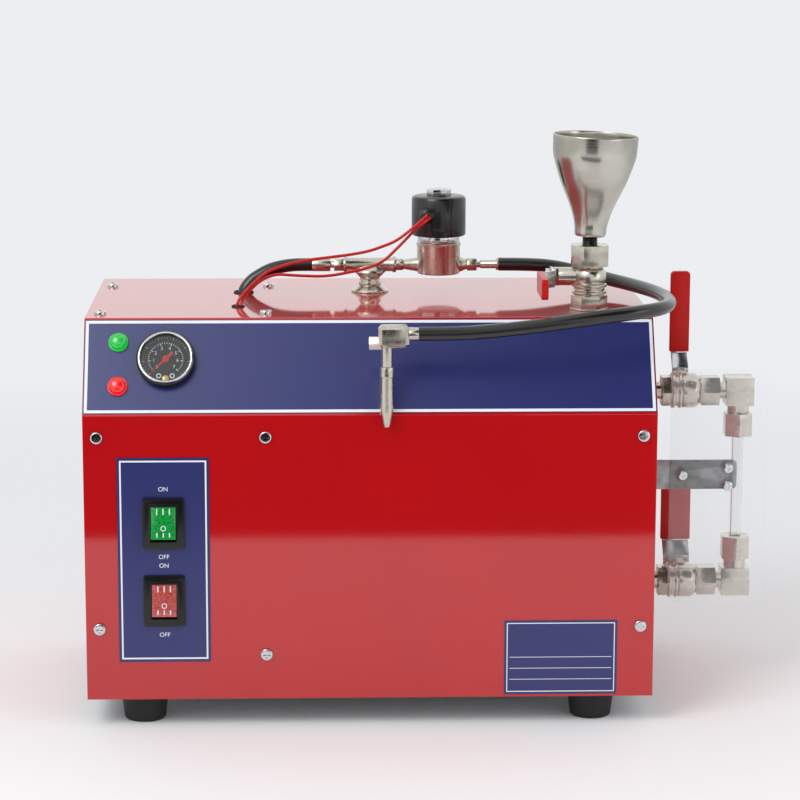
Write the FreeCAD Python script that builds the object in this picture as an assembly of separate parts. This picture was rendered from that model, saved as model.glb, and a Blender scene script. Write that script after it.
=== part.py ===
"""Jewelry steam cleaner: a sheet-metal cabinet around a small electric boiler.

Millimetres. Cabinet coordinates: x from the left side, y from the front face,
z from the underside of the cabinet. Every shape is built there and shifted at
the end, so that the origin is under the middle of the machine, at floor level.
"""

import FreeCAD
import Part
import math
import os
from FreeCAD import Placement, Rotation, Vector

# ------------------------------------------------------------ driving sizes
# cabinet
WIDTH = 420.0
DEPTH = 240.0
HEIGHT = 280.0
PANEL_RISE = 66.0
PANEL_SETBACK = 39.0
SHEET = 1.2
BEND_RADIUS = 1.1
FLANGE = 15.0
BULKHEAD_X = 140.0
HOLE_GAP = 1.0
SLIP = 0.05

# rubber feet
FOOT_HEIGHT = 22.0
FOOT_TOP_RADIUS = 18.0
FOOT_BASE_RADIUS = 15.5
FOOT_EDGE = 1.0
FOOT_LEFT = 41.0
FOOT_RIGHT = 43.5
FOOT_INSET = 28.0
FOOT_RECESS_RADIUS = 6.0
FOOT_WEB = 7.0

# pan-head screws
SCREW_HEAD_RADIUS = 4.5
SCREW_HEAD_HEIGHT = 2.4
SCREW_HEAD_EDGE = 0.6
SCREW_RADIUS = 2.0
SCREW_LENGTH = 8.0
SCREW_CLEARANCE = 0.1
SCREW_MARGIN = 1.0
SIDE_SCREW_INSET = 10.0
BULKHEAD_SCREW_INSET = 7.0
FRONT_SCREW_DROP = 16.0
FRONT_SCREW_LOW = 54.0
FRONT_SCREW_BULKHEAD_LOW = 34.0
TOP_SCREW_FRONT = 60.0
TOP_SCREW_BACK = 42.0
REAR_SCREW_LOW = 54.0
REAR_SCREW_DROP = 50.0

# labels
OVERLAY = 0.4
OVERLAY_MARGIN = 0.6
SWITCH_PLATE = 0.6
SWITCH_PLATE_WIDTH = 67.4
SWITCH_PLATE_HEIGHT = 154.0
SWITCH_PLATE_DROP = 1.0
RATING_PLATE_WIDTH = 84.0
RATING_PLATE_HEIGHT = 56.6
RATING_PLATE_INSET = 27.0
RATING_PLATE_LOW = 2.0

# rocker switches
SWITCH_X = 58.0
GREEN_SWITCH_UP = 28.0
RED_SWITCH_DOWN = 30.4
BEZEL_WIDTH = 30.5
BEZEL_HEIGHT = 38.0
BEZEL_THICKNESS = 2.8
BEZEL_CORNER = 2.0
RIM_HEIGHT = 1.2
RIM_WIDTH = 1.75
ROCKER_WIDTH = 18.0
ROCKER_HALF_HEIGHT = 11.9
ROCKER_RISE = 8.0
ROCKER_DIP = 1.3
ROCKER_GAP = 0.3
ROCKER_TILT = 7.0
ROCKER_PIVOT_DEPTH = 2.5
ROCKER_PIN_RADIUS = 1.5
ROCKER_SKIRT = 2.0
ROCKER_SKIRT_INSET = 0.5
ROCKER_BACK = 3.5
ROCKER_BACK_HALF = 5.0
PIN_END_WALL = 0.3
PIN_END_GAP = 0.2
SWITCH_WALL = 1.7
SWITCH_END_WALL = 1.275
SWITCH_DEPTH = 22.0
SWITCH_POCKET = 9.0
TERMINAL_LENGTH = 8.0
TERMINAL_WIDTH = 6.2
TERMINAL_THICKNESS = 0.8
TERMINAL_COLUMN = 5.5
TERMINAL_PITCH = 8.0

# lamps and pressure gauge on the sloping panel
LAMP_X = 25.3
LAMP_SPACING = 34.3
LAMP_SHIFT = 1.5
LAMP_RADIUS = 7.3
LAMP_HEIGHT = 7.2
LAMP_COLLAR = 2.4
LAMP_BEVEL = 1.0
LAMP_CROWN = 3.2
LAMP_FACET = 2.0
LAMP_BARREL_RADIUS = 5.0
LAMP_BARREL_LENGTH = 20.0
DIAL_X = 60.3
DIAL_SHIFT = 4.5
GAUGE_RADIUS = 21.5
GAUGE_PROUD = 8.0
GAUGE_EDGE = 1.2
GAUGE_LIP = 0.8
GAUGE_CASE_RADIUS = 19.0
GAUGE_CASE_DEPTH = 24.0
GAUGE_CAN_WALL = 1.2
GAUGE_STEM_RADIUS = 5.0
GAUGE_STEM_LENGTH = 12.0
GAUGE_STEM_BORE = 2.0
DIAL_TOP = 3.4
DIAL_THICKNESS = 0.6
DIAL_HOLE_GAP = 0.5
LENS_THICKNESS = 1.5
NEEDLE_GAP = 0.3
POINTER_THICKNESS = 0.5
POINTER_HALF_WIDTH = 0.9
POINTER_LENGTH = 14.5
POINTER_TAIL = 7.0
POINTER_HUB_RADIUS = 2.5
POINTER_HUB_PROUD = 0.2
POINTER_SHAFT_RADIUS = 1.0
POINTER_SHAFT_LENGTH = 8.0
POINTER_ZERO = 225.0

# boiler
TANK_FRONT_GAP = 10.0
TANK_TOP_GAP = 48.0
TANK_RADIUS = 95.0
TANK_WALL = 2.5
TANK_LEFT_GAP = 26.0
TANK_RIGHT_GAP = 32.0
TANK_DISH = 12.0
CRADLE_LEFT = 14.0
CRADLE_RIGHT = 43.0
CRADLE_THICKNESS = 3.0
CRADLE_HALF_WIDTH = 62.0
CRADLE_HORN = 8.0
STRAP_THICKNESS = 1.0
STRAP_WIDTH = 18.0
SEAT_GAP = 0.2
HEATER_DROP = 52.0
HEATER_FLANGE_RADIUS = 32.0
HEATER_FLANGE = 6.0
HEATER_FLANGE_RING = 8.0
HEATER_NECK = 2.0
HEATER_HOLE_GAP = 3.0
HEATER_ROD_RADIUS = 4.0
HEATER_ROD_SPREAD = 9.0
HEATER_END_GAP = 42.0
HEATER_PIN_RADIUS = 2.0
HEATER_PIN_LENGTH = 12.0
PIPE_RADIUS = 6.7
PIPE_BORE = 3.5
RISER_DIP = 4.0
SWITCH_TAP_BACK = 40.0
SWITCH_TAP_UP = 32.0
SWITCH_TAP_REACH = 12.0
DRAIN_INSET = 120.0
DRAIN_DROP = 77.0
DRAIN_REACH = 4.0

# safety valve, pressure switch and relay
SAFETY_RADIUS = 7.0
SAFETY_COLLAR_RADIUS = 9.0
SAFETY_CAP_RADIUS = 5.0
SAFETY_FOOT = 6.0
SAFETY_COLLAR = 7.0
SAFETY_BODY = 16.0
SAFETY_CAP = 6.0
SAFETY_EDGE = 2.0
DRUM_RADIUS = 19.0
DRUM_NECK_RADIUS = 8.0
DRUM_CAP_RADIUS = 12.0
DRUM_NECK = 8.0
DRUM_DEPTH = 22.0
DRUM_CAP = 6.0
DRUM_EDGE = 2.0
RELAY_LENGTH = 38.0
RELAY_WIDTH = 46.0
RELAY_HEIGHT = 44.0
RELAY_Y = 78.0
RELAY_SHOULDER = 9.0

# tee and solenoid valve on the top
TEE_OFFSET = 73.0
PORT_Y = 170.0
PORT_RISE = 21.0
TEE_HALF_LENGTH = 20.4
TEE_RADIUS = 5.4
TEE_BAND_RADIUS = 6.2
TEE_BAND = 2.6
TEE_BELL_CROWN = 1.0
TEE_BELL_RADIUS = 12.3
TEE_BELL_EDGE = 0.8
TEE_BELL_TOP = 3.6
TEE_BELL_SLOPE = 4.8
TEE_BELL_LIP = 1.8
TEE_NECK_RADIUS = 7.7
TEE_FOOT_RADIUS = 8.8
TEE_FOOT = 3.4
RISER_END_GAP = 9.0
SOLENOID_OFFSET = 53.8
SOLENOID_RADIUS = 16.8
SOLENOID_BELOW = 6.8
SOLENOID_ABOVE = 18.4
SOLENOID_EDGE = 0.8
SOLENOID_BAND = 2.6
SOLENOID_BAND_PROUD = 0.5
SOLENOID_BAND_EDGE = 0.6
PORT_SINK = 3.0
PORT_CONE_RADIUS = 6.0
PORT_WAIST = 3.7
INLET_NUT_EDGE = 0.5
PORT_PASSAGE = 1.6
INLET_NUT_RADIUS = 4.6
INLET_NUT = 5.5
OUTLET_CONE = 5.5
COIL_RADIUS = 21.1
COIL_RISE = 23.3
COIL_HEIGHT = 31.0
COIL_FOOT_EDGE = 1.0
COIL_TOP_EDGE = 2.4
COIL_TOP_LIP = 0.8
COIL_WASHER_INSET = 0.6
GUIDE_RADIUS = 6.8
PLUNGER_RADIUS = 4.92
PLUNGER_BORE = 5.0
PLUNGER_LENGTH = 30.0
PLUNGER_STROKE = 2.5
PLUNGER_POCKET_RADIUS = 3.6
PLUNGER_POCKET_DEPTH = 8.0
SEAT_RISE = 3.5
SEAT_BORE = 2.4
GALLERY_OFFSET = 8.0
GALLERY_RADIUS = 1.2
GALLERY_RISE = 1.6
GALLERY_RISER_RADIUS = 1.4
CORE_LENGTH = 10.0
SPRING_RADIUS = 2.9
SPRING_WIRE = 0.8
SPRING_TURNS = 4
COIL_NUT_FLATS = 16.6
COIL_NUT_HEIGHT = 5.2
BOSS_RADIUS = 6.1
BOSS_FACE_RADIUS = 2.9
BOSS_DEPTH = 8.0
BOSS_EDGE = 2.6
BOSS_SHOULDER = 1.2
BOSS_LIP = 0.8
BOSS_OFFSET = 9.5
BOSS_RISE = 40.6
LEAD_STANDOFF = 1.0
LEAD_SPREAD = 1.0
LEAD_SLANT = 1.05
LEAD_RADIUS = 1.15
LEAD_STUB = 6.9
LINE_RADIUS = 5.1
HOSE_TAIL_FLATS = 9.4
HOSE_TAIL_HEX = 7.6
HOSE_TAIL_NECK = 3.0
TAIL_BORE = 1.6
BARB_RADIUS = 2.6
FERRULE_RADIUS = 5.3
FERRULE_LENGTH = 14.2
SHANK_RADIUS = 3.3
SHANK_FLANGE_RADIUS = 4.6
SHANK_FLANGE = 2.0

# lock nuts and grommets in the top
LOCK_NUT_RADIUS = 14.6
LOCK_NUT_CROWN_RADIUS = 9.8
LOCK_NUT_EDGE = 1.2
LOCK_NUT_HEIGHT = 4.8
WASHER_RADIUS = 14.0
WASHER_HEIGHT = 1.5
LINE_HOLE_OFFSET = 25.7
LINE_HOLE_Y = 163.8
LEAD_HOLE_OFFSET = 28.3
LEAD_HOLE_Y = 92.3
LINE_GROMMET_BORE = 6.4
LEAD_GROMMET_BORE = 3.6
GROMMET_WALL = 0.8
GROMMET_LIP = 0.8
GROMMET_RIM = 1.2
GROMMET_EDGE = 0.4
GROMMET_TUCK = 1.5

# ball valves
FILL_INSET = 44.0
FILL_Y = 76.0
FILL_PIPE_RADIUS = 8.5
FILL_PIPE_BORE = 6.0
FILL_INLET_REACH = 23.5
FILL_INLET_HEX = 9.0
FILL_INLET_FLATS = 24.0
FILL_OUTLET_REACH = 24.0
FILL_OUTLET_HEX = 16.0
FILL_OUTLET_FLATS = 27.0
FILL_BODY_RADIUS = 12.6
FILL_BALL_RADIUS = 8.2
FILL_BORE = 5.2
FILL_STEM_RADIUS = 3.5
FILL_PLATE = 27.0
FILL_LEVER_RISE = 11.0
FILL_RING_START = 1.2
VALVE_OFFSET = 33.0
VALVE_INLET_REACH = 17.5
VALVE_INLET_HEX = 7.0
VALVE_INLET_FLATS = 22.0
VALVE_OUTLET_REACH = 27.0
VALVE_OUTLET_HEX = 14.0
VALVE_OUTLET_FLATS = 21.5
VALVE_BODY_RADIUS = 13.4
VALVE_BALL_RADIUS = 8.0
VALVE_BORE = 4.0
VALVE_STEM_RADIUS = 3.0
VALVE_PLATE = 20.3
VALVE_LEVER_RISE = 10.0
VALVE_RING_START = 0.5
SOCKET_DEPTH = 9.0
SPIGOT_DEPTH = 8.0
BALL_GAP = 0.3
PACKING = 3.0
PACKING_GAP = 0.3
PACKING_WALL = 3.0
VALVE_BOSS_WALL = 3.4
RING_PROUD = 0.4
RING_WIDTH = 1.8
RING_PITCH = 5.2
RING_SLOPE = 0.6
GROOVE_DEPTH = 1.0
SHOULDER_START = 5.0
SHOULDER_MIDDLE = 2.6
SHOULDER_END = 1.0
SHOULDER_DROP = 1.4
SHOULDER_DEPTH = 3.0
LEVER_WIDTH = 15.0
LOWER_LEVER_WIDTH = 23.0
LEVER_LENGTH = 86.5
FILL_LEVER_LENGTH = 70.0
LEVER_STRIP = 2.5
LEVER_TAIL = 8.0
LEVER_CRANK = 14.0
LEVER_NUT_WALL = 2.0
LEVER_NUT = 3.5
STEM_END = 0.5
GRIP_WALL = 1.25
GRIP_END = 1.5
GRIP_START = 1.0
GRIP_CORNER = 3.0

# funnel
FUNNEL_RISE = 54.8
FUNNEL_HEIGHT = 77.0
FUNNEL_WALL = 0.8
FUNNEL_LEAN = 2.5
FUNNEL_NECK_RADIUS = 11.9
FUNNEL_NECK = 6.0
FUNNEL_MOUTH_RADIUS = 32.0
FUNNEL_CURVE = (
    (0.052, 0.025),
    (0.176, 0.134),
    (0.331, 0.368),
    (0.487, 0.642),
    (0.642, 0.816),
    (0.746, 0.940),
    (0.817, 0.980),
)
FUNNEL_STEM_RADIUS = 5.8
FUNNEL_STEM_BORE = 4.4
FUNNEL_STEM_TOP = 0.6

# water level gauge on the right side
LEVEL_HALF_SPACING = 75.0
BLOCK_OFFSET = 75.5
BLOCK_SIZE = 21.5
BLOCK_DEPTH = 20.0
GLASS_RADIUS = 4.5
GLASS_WALL = 1.3
GLASS_SEAT = 12.0
GLAND_FLATS = 20.5
GLAND_HEIGHT = 17.7
GLAND_GAP = 6.8
GLAND_THREAD_RADIUS = 8.4
GLAND_THREAD = 11.0

# acrylic guard and its bracket
GUARD_NEAR = 21.5
GUARD_WIDTH = 74.0
GUARD_BELOW = 13.0
GUARD_ABOVE = 19.0
GUARD_SETOFF = 18.5
GUARD_THICKNESS = 3.0
GUARD_CORNER = 5.0
BRACKET_LENGTH = 73.3
BRACKET_HEIGHT = 22.8
BRACKET_RISE = 0.5
BRACKET_THICKNESS = 2.0
BRACKET_CORNER = 4.0
BRACKET_FOOT = 24.0
GUARD_SCREW_RADIUS = 3.9
GUARD_SCREW_NEAR = 31.0
GUARD_SCREW_FAR = 66.0
GUARD_SCREW_LOW = 3.4
GUARD_SCREW_MIDDLE = 11.7
GUARD_SCREW_HIGH = 17.1

# rear fittings
GLAND_X = 60.0
GLAND_Z = 45.0
GLAND_BORE = 4.5
GLAND_REACH = 22.0
GLAND_WALL = 3.4
GLAND_COLLAR = 3.0
GLAND_NUT = 5.0
GLAND_TAIL = 8.0
GLAND_DOME = 16.0
GLAND_MOUTH_WALL = 1.5
GLAND_FLANGE = 5.0
GLAND_NUT_WALL = 2.6
GLAND_NECK_WALL = 1.0
GLAND_NECK = 6.0
GLAND_DOME_WALL = 2.0
GLAND_DOME_START = 8.0
SOCKET_Z = 100.0
SOCKET_RADIUS = 8.0
SOCKET_COLLAR_RADIUS = 11.0
SOCKET_COLLAR = 2.0
SOCKET_REACH = 10.0
SOCKET_TAIL = 16.0
SOCKET_WALL = 1.6
SOCKET_FLOOR = 4.0
SOCKET_PIN_RADIUS = 0.9
SOCKET_PIN_SPREAD = 2.6
SOCKET_PIN_LENGTH = 10.0
PLUG_LOCK_FLATS = 19.0
PLUG_LOCK = 3.0
PLUG_FLATS = 21.0
PLUG_HEX = 8.0
PLUG_CROWN_RADIUS = 8.0
PLUG_CROWN = 3.0
LOUVRE_COUNT = 6
LOUVRE_PITCH = 14.0
LOUVRE_WIDTH = 70.0
LOUVRE_Z = 130.0
LOUVRE_DEPTH = 5.0
LOUVRE_RISE = 8.0

# steam hose, its elbow and nozzle
HOSE_RADIUS = 5.2
NOZZLE_X = 221.5
NOZZLE_Y = -5.8
NOZZLE_TIP_DROP = 68.5
NOZZLE_FERRULE = 7.2
NOZZLE_FERRULE_RADIUS = 4.9
HOSE_END_REACH = 23.1
HOSE_END_DROP = 5.0
ELBOW_HALF_WIDTH = 6.5
ELBOW_NEAR = 6.3
ELBOW_ABOVE = 6.7
ELBOW_BELOW = 9.6
ELBOW_EDGE = 2.5
ELBOW_SPIGOT_RADIUS = 4.2
ELBOW_BORE = 2.0
NOSE_FLATS = 9.0
NOSE_LENGTH = 6.8
NOSE_DROP = 6.6
NOZZLE_BORE = 1.0
NOZZLE_TIP_RADIUS = 2.2
NOZZLE_RADIUS = 4.7
NOZZLE_CONE = 12.0
NOZZLE_BARREL = 24.8
NOZZLE_COLLAR_RADIUS = 5.2
NOZZLE_COLLAR = 7.5
NOZZLE_COLLAR_EDGE = 0.4

# --------------------------------------------------------- derived positions
FRONT_HEIGHT = HEIGHT - PANEL_RISE
SLOPE_LENGTH = math.hypot(PANEL_SETBACK, PANEL_RISE)
UP_SLOPE = Vector(0, PANEL_SETBACK, PANEL_RISE) / SLOPE_LENGTH
OUT_OF_SLOPE = Vector(0, -PANEL_RISE, PANEL_SETBACK) / SLOPE_LENGTH
FOOT_X = (FOOT_LEFT, WIDTH - FOOT_RIGHT)
RATING_PLATE_X = WIDTH - RATING_PLATE_INSET - RATING_PLATE_WIDTH
SWITCH_PLATE_Z = FRONT_HEIGHT / 2 - SWITCH_PLATE_DROP
GREEN_SWITCH_Z = SWITCH_PLATE_Z + GREEN_SWITCH_UP
RED_SWITCH_Z = SWITCH_PLATE_Z - RED_SWITCH_DOWN
SWITCH_FRONT = -SWITCH_PLATE
ROCKER_REACH = (
    math.hypot(ROCKER_HALF_HEIGHT, ROCKER_RISE)
    * math.sin(math.atan2(ROCKER_RISE, ROCKER_HALF_HEIGHT) + math.radians(ROCKER_TILT))
    - ROCKER_PIVOT_DEPTH
)
GREEN_LAMP_UP = SLOPE_LENGTH / 2 + LAMP_SHIFT + LAMP_SPACING / 2
RED_LAMP_UP = GREEN_LAMP_UP - LAMP_SPACING
DIAL_UP = SLOPE_LENGTH / 2 + DIAL_SHIFT

TANK_Y = TANK_FRONT_GAP + TANK_RADIUS
TANK_Z = HEIGHT - TANK_TOP_GAP - TANK_RADIUS
TANK_X = (BULKHEAD_X + TANK_LEFT_GAP, WIDTH - TANK_RIGHT_GAP)
CRADLE_X = (TANK_X[0] + CRADLE_LEFT, TANK_X[1] - CRADLE_RIGHT)
HEATER_Z = TANK_Z - HEATER_DROP
HEATER_LENGTH = TANK_X[1] - TANK_X[0] - HEATER_END_GAP
DRAIN_X = WIDTH - DRAIN_INSET
DRAIN_Z = TANK_Z - DRAIN_DROP
LEVEL_Y = TANK_Y
GUARD_Y = LEVEL_Y - GUARD_SETOFF
LEVEL_Z = (TANK_Z - LEVEL_HALF_SPACING, TANK_Z + LEVEL_HALF_SPACING)
VALVE_X = WIDTH + VALVE_OFFSET
BLOCK_X = WIDTH + BLOCK_OFFSET
GUARD_X = (WIDTH + GUARD_NEAR, WIDTH + GUARD_NEAR + GUARD_WIDTH)
GUARD_Z = (LEVEL_Z[0] - GUARD_BELOW, LEVEL_Z[1] + GUARD_ABOVE)
BRACKET_Z = (TANK_Z + BRACKET_RISE, TANK_Z + BRACKET_RISE + BRACKET_HEIGHT)
GUARD_SCREWS = (
    (WIDTH + GUARD_SCREW_FAR, BRACKET_Z[0] + GUARD_SCREW_HIGH),
    (WIDTH + GUARD_SCREW_FAR, BRACKET_Z[0] + GUARD_SCREW_LOW),
    (WIDTH + GUARD_SCREW_NEAR, BRACKET_Z[0] + GUARD_SCREW_MIDDLE),
)

TEE_X = BULKHEAD_X + TEE_OFFSET
PORT_Z = HEIGHT + PORT_RISE
SEAT_Z = PORT_Z + SEAT_RISE
SOLENOID_X = TEE_X + SOLENOID_OFFSET
SOLENOID_Z = (PORT_Z - SOLENOID_BELOW, PORT_Z + SOLENOID_ABOVE)
COIL_Z = (PORT_Z + COIL_RISE, PORT_Z + COIL_RISE + COIL_HEIGHT)
GUIDE_TOP = COIL_Z[1] + COIL_NUT_HEIGHT
BOSS_FACE = Vector(SOLENOID_X - BOSS_OFFSET, PORT_Y - COIL_RADIUS - LEAD_STANDOFF, PORT_Z + BOSS_RISE)
TAIL_REACH = HOSE_TAIL_HEX + HOSE_TAIL_NECK + FERRULE_LENGTH
LINE_TAIL = Vector(TEE_X - TEE_HALF_LENGTH, PORT_Y, PORT_Z)
HOSE_TAIL = Vector(SOLENOID_X + SOLENOID_RADIUS + OUTLET_CONE, PORT_Y, PORT_Z)
LINE_START = LINE_TAIL - Vector(TAIL_REACH, 0, 0)
HOSE_START = HOSE_TAIL + Vector(TAIL_REACH, 0, 0)
LINE_HOLE = (BULKHEAD_X - LINE_HOLE_OFFSET, LINE_HOLE_Y)
LEAD_HOLE = (BULKHEAD_X - LEAD_HOLE_OFFSET, LEAD_HOLE_Y)

FILL_X = WIDTH - FILL_INSET
FILL_VALVE_Z = HEIGHT + WASHER_HEIGHT + FILL_INLET_REACH
FUNNEL_Z = HEIGHT + FUNNEL_RISE

HOSE_END_X = NOZZLE_X + HOSE_END_REACH
HOSE_END_Z = HEIGHT - HOSE_END_DROP
NOZZLE_TIP_Z = HOSE_END_Z - NOZZLE_TIP_DROP
NOZZLE_LENGTH = NOZZLE_CONE + NOZZLE_BARREL + NOZZLE_COLLAR

ORIGIN_X = GUARD_X[1] / 2
ORIGIN_Y = (DEPTH + GLAND_REACH - ROCKER_REACH) / 2
TO_ROW = Vector(-ORIGIN_X, -ORIGIN_Y, FOOT_HEIGHT)

AXIS_X = Vector(1, 0, 0)
AXIS_Y = Vector(0, 1, 0)
AXIS_Z = Vector(0, 0, 1)

# -------------------------------------------- routes of the soft tubes, by hand
# Offsets from the start of each tube, then places from the bulkhead, the front
# and the cabinet's top.
HOSE_LEAVES = ((17.1, 0.0, 0.0), (41.6, 6.5, -2.0))
HOSE_ROUTE = (
    (242.0, 169.0, 13.8),
    (264.0, 145.0, 11.2),
    (280.0, 114.0, 10.8),
    (291.5, 81.0, 10.3),
    (294.5, 48.0, 9.5),
    (285.0, 15.0, 9.8),
    (259.0, -3.5, 9.2),
    (224.0, -8.5, 5.4),
    (187.0, -8.0, 0.2),
    (151.0, -6.4, -3.8),
)
HOSE_ARRIVES = 22.4
LINE_LEAVES = (-16.3, 0.0, 0.0)
LINE_ROUTE = (
    (-5.0, 168.0, 18.0),
    (-19.5, 165.5, 9.5),
    (-25.9, 163.8, 1.0),
    (-26.6, 163.0, -16.0),
    (-32.0, 147.0, -42.0),
    (-46.0, 127.0, -62.0),
    (-66.0, 104.0, -72.0),
)
LINE_ARRIVES = 26.0
UPPER_LEAD = (
    (104.0, 137.8, 52.4),
    (92.0, 136.4, 43.4),
    (72.0, 132.1, 36.6),
    (55.0, 127.0, 34.3),
    (25.0, 118.7, 31.9),
    (8.0, 112.5, 29.3),
    (-7.5, 106.3, 24.4),
    (-19.0, 99.0, 15.1),
    (-28.5, 92.9, 4.5),
    (-30.3, 91.8, -4.0),
    (-30.4, 91.8, -33.0),
)
LOWER_LEAD = (
    (107.0, 140.8, 52.0),
    (98.5, 139.0, 43.0),
    (82.0, 134.5, 27.4),
    (66.8, 130.7, 22.6),
    (39.2, 122.8, 18.3),
    (15.7, 115.3, 20.2),
    (0.0, 109.5, 22.3),
    (-11.3, 105.9, 18.4),
    (-22.2, 98.9, 8.9),
    (-26.4, 93.2, 2.5),
    (-27.4, 92.3, -6.0),
    (-27.5, 92.3, -33.0),
)
LEAD_END = HEIGHT + UPPER_LEAD[-1][2]


# ------------------------------------------------------------------- helpers
def block(x0, x1, y0, y1, z0, z1):
    return Part.makeBox(x1 - x0, y1 - y0, z1 - z0, Vector(x0, y0, z0))


def rod(base, axis, radius, length):
    return Part.makeCylinder(radius, length, base, axis)


def pipe(base, axis, radius, bore, length):
    return rod(base, axis, radius, length).cut(rod(base, axis, bore, length))


def prism(base, axis, across_flats, sides, length, turn=0.0):
    """A regular prism, such as a hexagon nut, with one flat square to the turn."""
    corner = across_flats / 2 / math.cos(math.pi / sides)
    points = []
    for i in range(sides + 1):
        angle = math.radians(turn) + math.pi / sides + 2 * math.pi * i / sides
        points.append(Vector(corner * math.cos(angle), corner * math.sin(angle), 0))
    solid = Part.Face(Part.makePolygon(points)).extrude(Vector(0, 0, length))
    solid.Placement = Placement(base, Rotation(AXIS_Z, axis))
    return solid


def turned(profile, base=Vector(0, 0, 0), axis=AXIS_Z):
    """A closed outline of (radius, height) points spun about an axis."""
    points = [Vector(r, 0, h) for r, h in profile]
    face = Part.Face(Part.makePolygon(points + points[:1]))
    solid = face.revolve(Vector(0, 0, 0), AXIS_Z, 360)
    solid.Placement = Placement(base, Rotation(AXIS_Z, axis))
    return solid


def inset(outline, distance):
    """A closed outline moved inwards; its points run with the inside on the right."""
    count = len(outline)
    moved = []
    for i in range(count):
        (y0, z0), (y1, z1), (y2, z2) = outline[i - 1], outline[i], outline[(i + 1) % count]
        a = Vector(y1 - y0, z1 - z0, 0).normalize()
        b = Vector(y2 - y1, z2 - z1, 0).normalize()
        normal_a = Vector(a.y, -a.x, 0)
        normal_b = Vector(b.y, -b.x, 0)
        share = distance / (1 + normal_a.dot(normal_b))
        moved.append((y1 + share * (normal_a.x + normal_b.x), z1 + share * (normal_a.y + normal_b.y)))
    return moved


def side_profile(x, outline, thickness):
    """An outline in the cabinet's side view, extruded along x."""
    points = [Vector(x, y, z) for y, z in outline]
    return Part.Face(Part.makePolygon(points + points[:1])).extrude(Vector(thickness, 0, 0))


def on_slope(x, up, out=0.0):
    """A point on the sloping panel: distance up it, and out of its surface."""
    return Vector(x, 0, FRONT_HEIGHT) + UP_SLOPE * up + OUT_OF_SLOPE * out


def off_bulkhead(offsets):
    """Points given from the bulkhead, the front and the cabinet's top."""
    return [(BULKHEAD_X + x, y, HEIGHT + z) for x, y, z in offsets]


def rounded_plate(x0, x1, z0, z1, y0, y1, corner):
    plate = block(x0, x1, y0, y1, z0, z1)
    upright = [e for e in plate.Edges if abs(e.tangentAt(e.FirstParameter).y) > 0.99]
    return plate.makeFillet(corner, upright)


def route_wire(points):
    """Straight runs joined by arcs that touch them, and the arcs' radii."""
    places = [Vector(*p) for p in points]
    edges = []
    radii = []
    start = places[0]
    for before, corner, after in zip(places, places[1:], places[2:]):
        arrive = (corner - before).normalize()
        leave = (after - corner).normalize()
        half = arrive.getAngle(leave) / 2
        reach = 0.45 * min((corner - before).Length, (after - corner).Length)
        first = corner - arrive * reach
        last = corner + leave * reach
        radius = reach / math.tan(half)
        middle = corner + (leave - arrive).normalize() * (radius / math.cos(half) - radius)
        edges.append(Part.LineSegment(start, first).toShape())
        edges.append(Part.Arc(first, middle, last).toShape())
        radii.append(radius)
        start = last
    edges.append(Part.LineSegment(start, places[-1]).toShape())
    return Part.Wire(edges), radii


def flexible(name, points, radius):
    """A round tube along a route; prints its length and its tightest bend."""
    wire, radii = route_wire(points)
    along = (Vector(*points[1]) - Vector(*points[0])).normalize()
    ring = Part.Wire([Part.makeCircle(radius, Vector(*points[0]), along)])
    tube = wire.makePipeShell([ring], True, False)
    ideal = math.pi * radius**2 * wire.Length
    print(name, "length", round(wire.Length, 1), "volume ratio", round(tube.Volume / ideal, 4))
    print(name, "radii", [round(r) for r in radii])
    return tube


# ------------------------------------------------------------------- cabinet
OUTLINE = [(0.0, 0.0), (0.0, FRONT_HEIGHT), (PANEL_SETBACK, HEIGHT), (DEPTH, HEIGHT), (DEPTH, 0.0)]
INNER = inset(OUTLINE, SHEET)

SIDE_SCREW_X = (SIDE_SCREW_INSET, WIDTH - SIDE_SCREW_INSET)
BULKHEAD_SCREW_X = BULKHEAD_X - BULKHEAD_SCREW_INSET
FRONT_SCREW_HIGH = FRONT_HEIGHT - FRONT_SCREW_DROP
TOP_SCREW_Y = (TOP_SCREW_FRONT, DEPTH - TOP_SCREW_BACK)
REAR_SCREW_Z = (REAR_SCREW_LOW, HEIGHT - REAR_SCREW_DROP)
FRONT_SCREWS = [(x, z) for x in SIDE_SCREW_X for z in (FRONT_SCREW_HIGH, FRONT_SCREW_LOW)]
FRONT_SCREWS += [(BULKHEAD_SCREW_X, FRONT_SCREW_HIGH), (BULKHEAD_SCREW_X, FRONT_SCREW_BULKHEAD_LOW)]
TOP_SCREWS = [(x, y) for x in (SIDE_SCREW_INSET, BULKHEAD_SCREW_X) for y in TOP_SCREW_Y]
REAR_SCREWS = [(x, z) for x in SIDE_SCREW_X for z in REAR_SCREW_Z]
FEET = [(x, y) for x in FOOT_X for y in (FOOT_INSET, DEPTH - FOOT_INSET)]


def screw_holes():
    """Drillings for every cabinet screw, through the sheets that they join."""
    radius = SCREW_RADIUS + SCREW_CLEARANCE
    reach = 4 * SHEET
    holes = [rod(Vector(x, -SHEET, z), AXIS_Y, radius, reach) for x, z in FRONT_SCREWS]
    holes += [rod(Vector(x, y, HEIGHT - reach + SHEET), AXIS_Z, radius, reach) for x, y in TOP_SCREWS]
    holes += [rod(Vector(x, DEPTH - reach + SHEET, z), AXIS_Y, radius, reach) for x, z in REAR_SCREWS]
    holes += [rod(Vector(x, y, -SHEET), AXIS_Z, radius, reach) for x, y in FEET]
    return Part.makeCompound(holes)


def switch_opening(z, margin):
    half_width = ROCKER_WIDTH / 2 + ROCKER_GAP + SWITCH_WALL + margin
    half_height = switch_half_height() + margin
    return block(SWITCH_X - half_width, SWITCH_X + half_width, -3 * SHEET, 3 * SHEET,
                 z - half_height, z + half_height)


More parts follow.
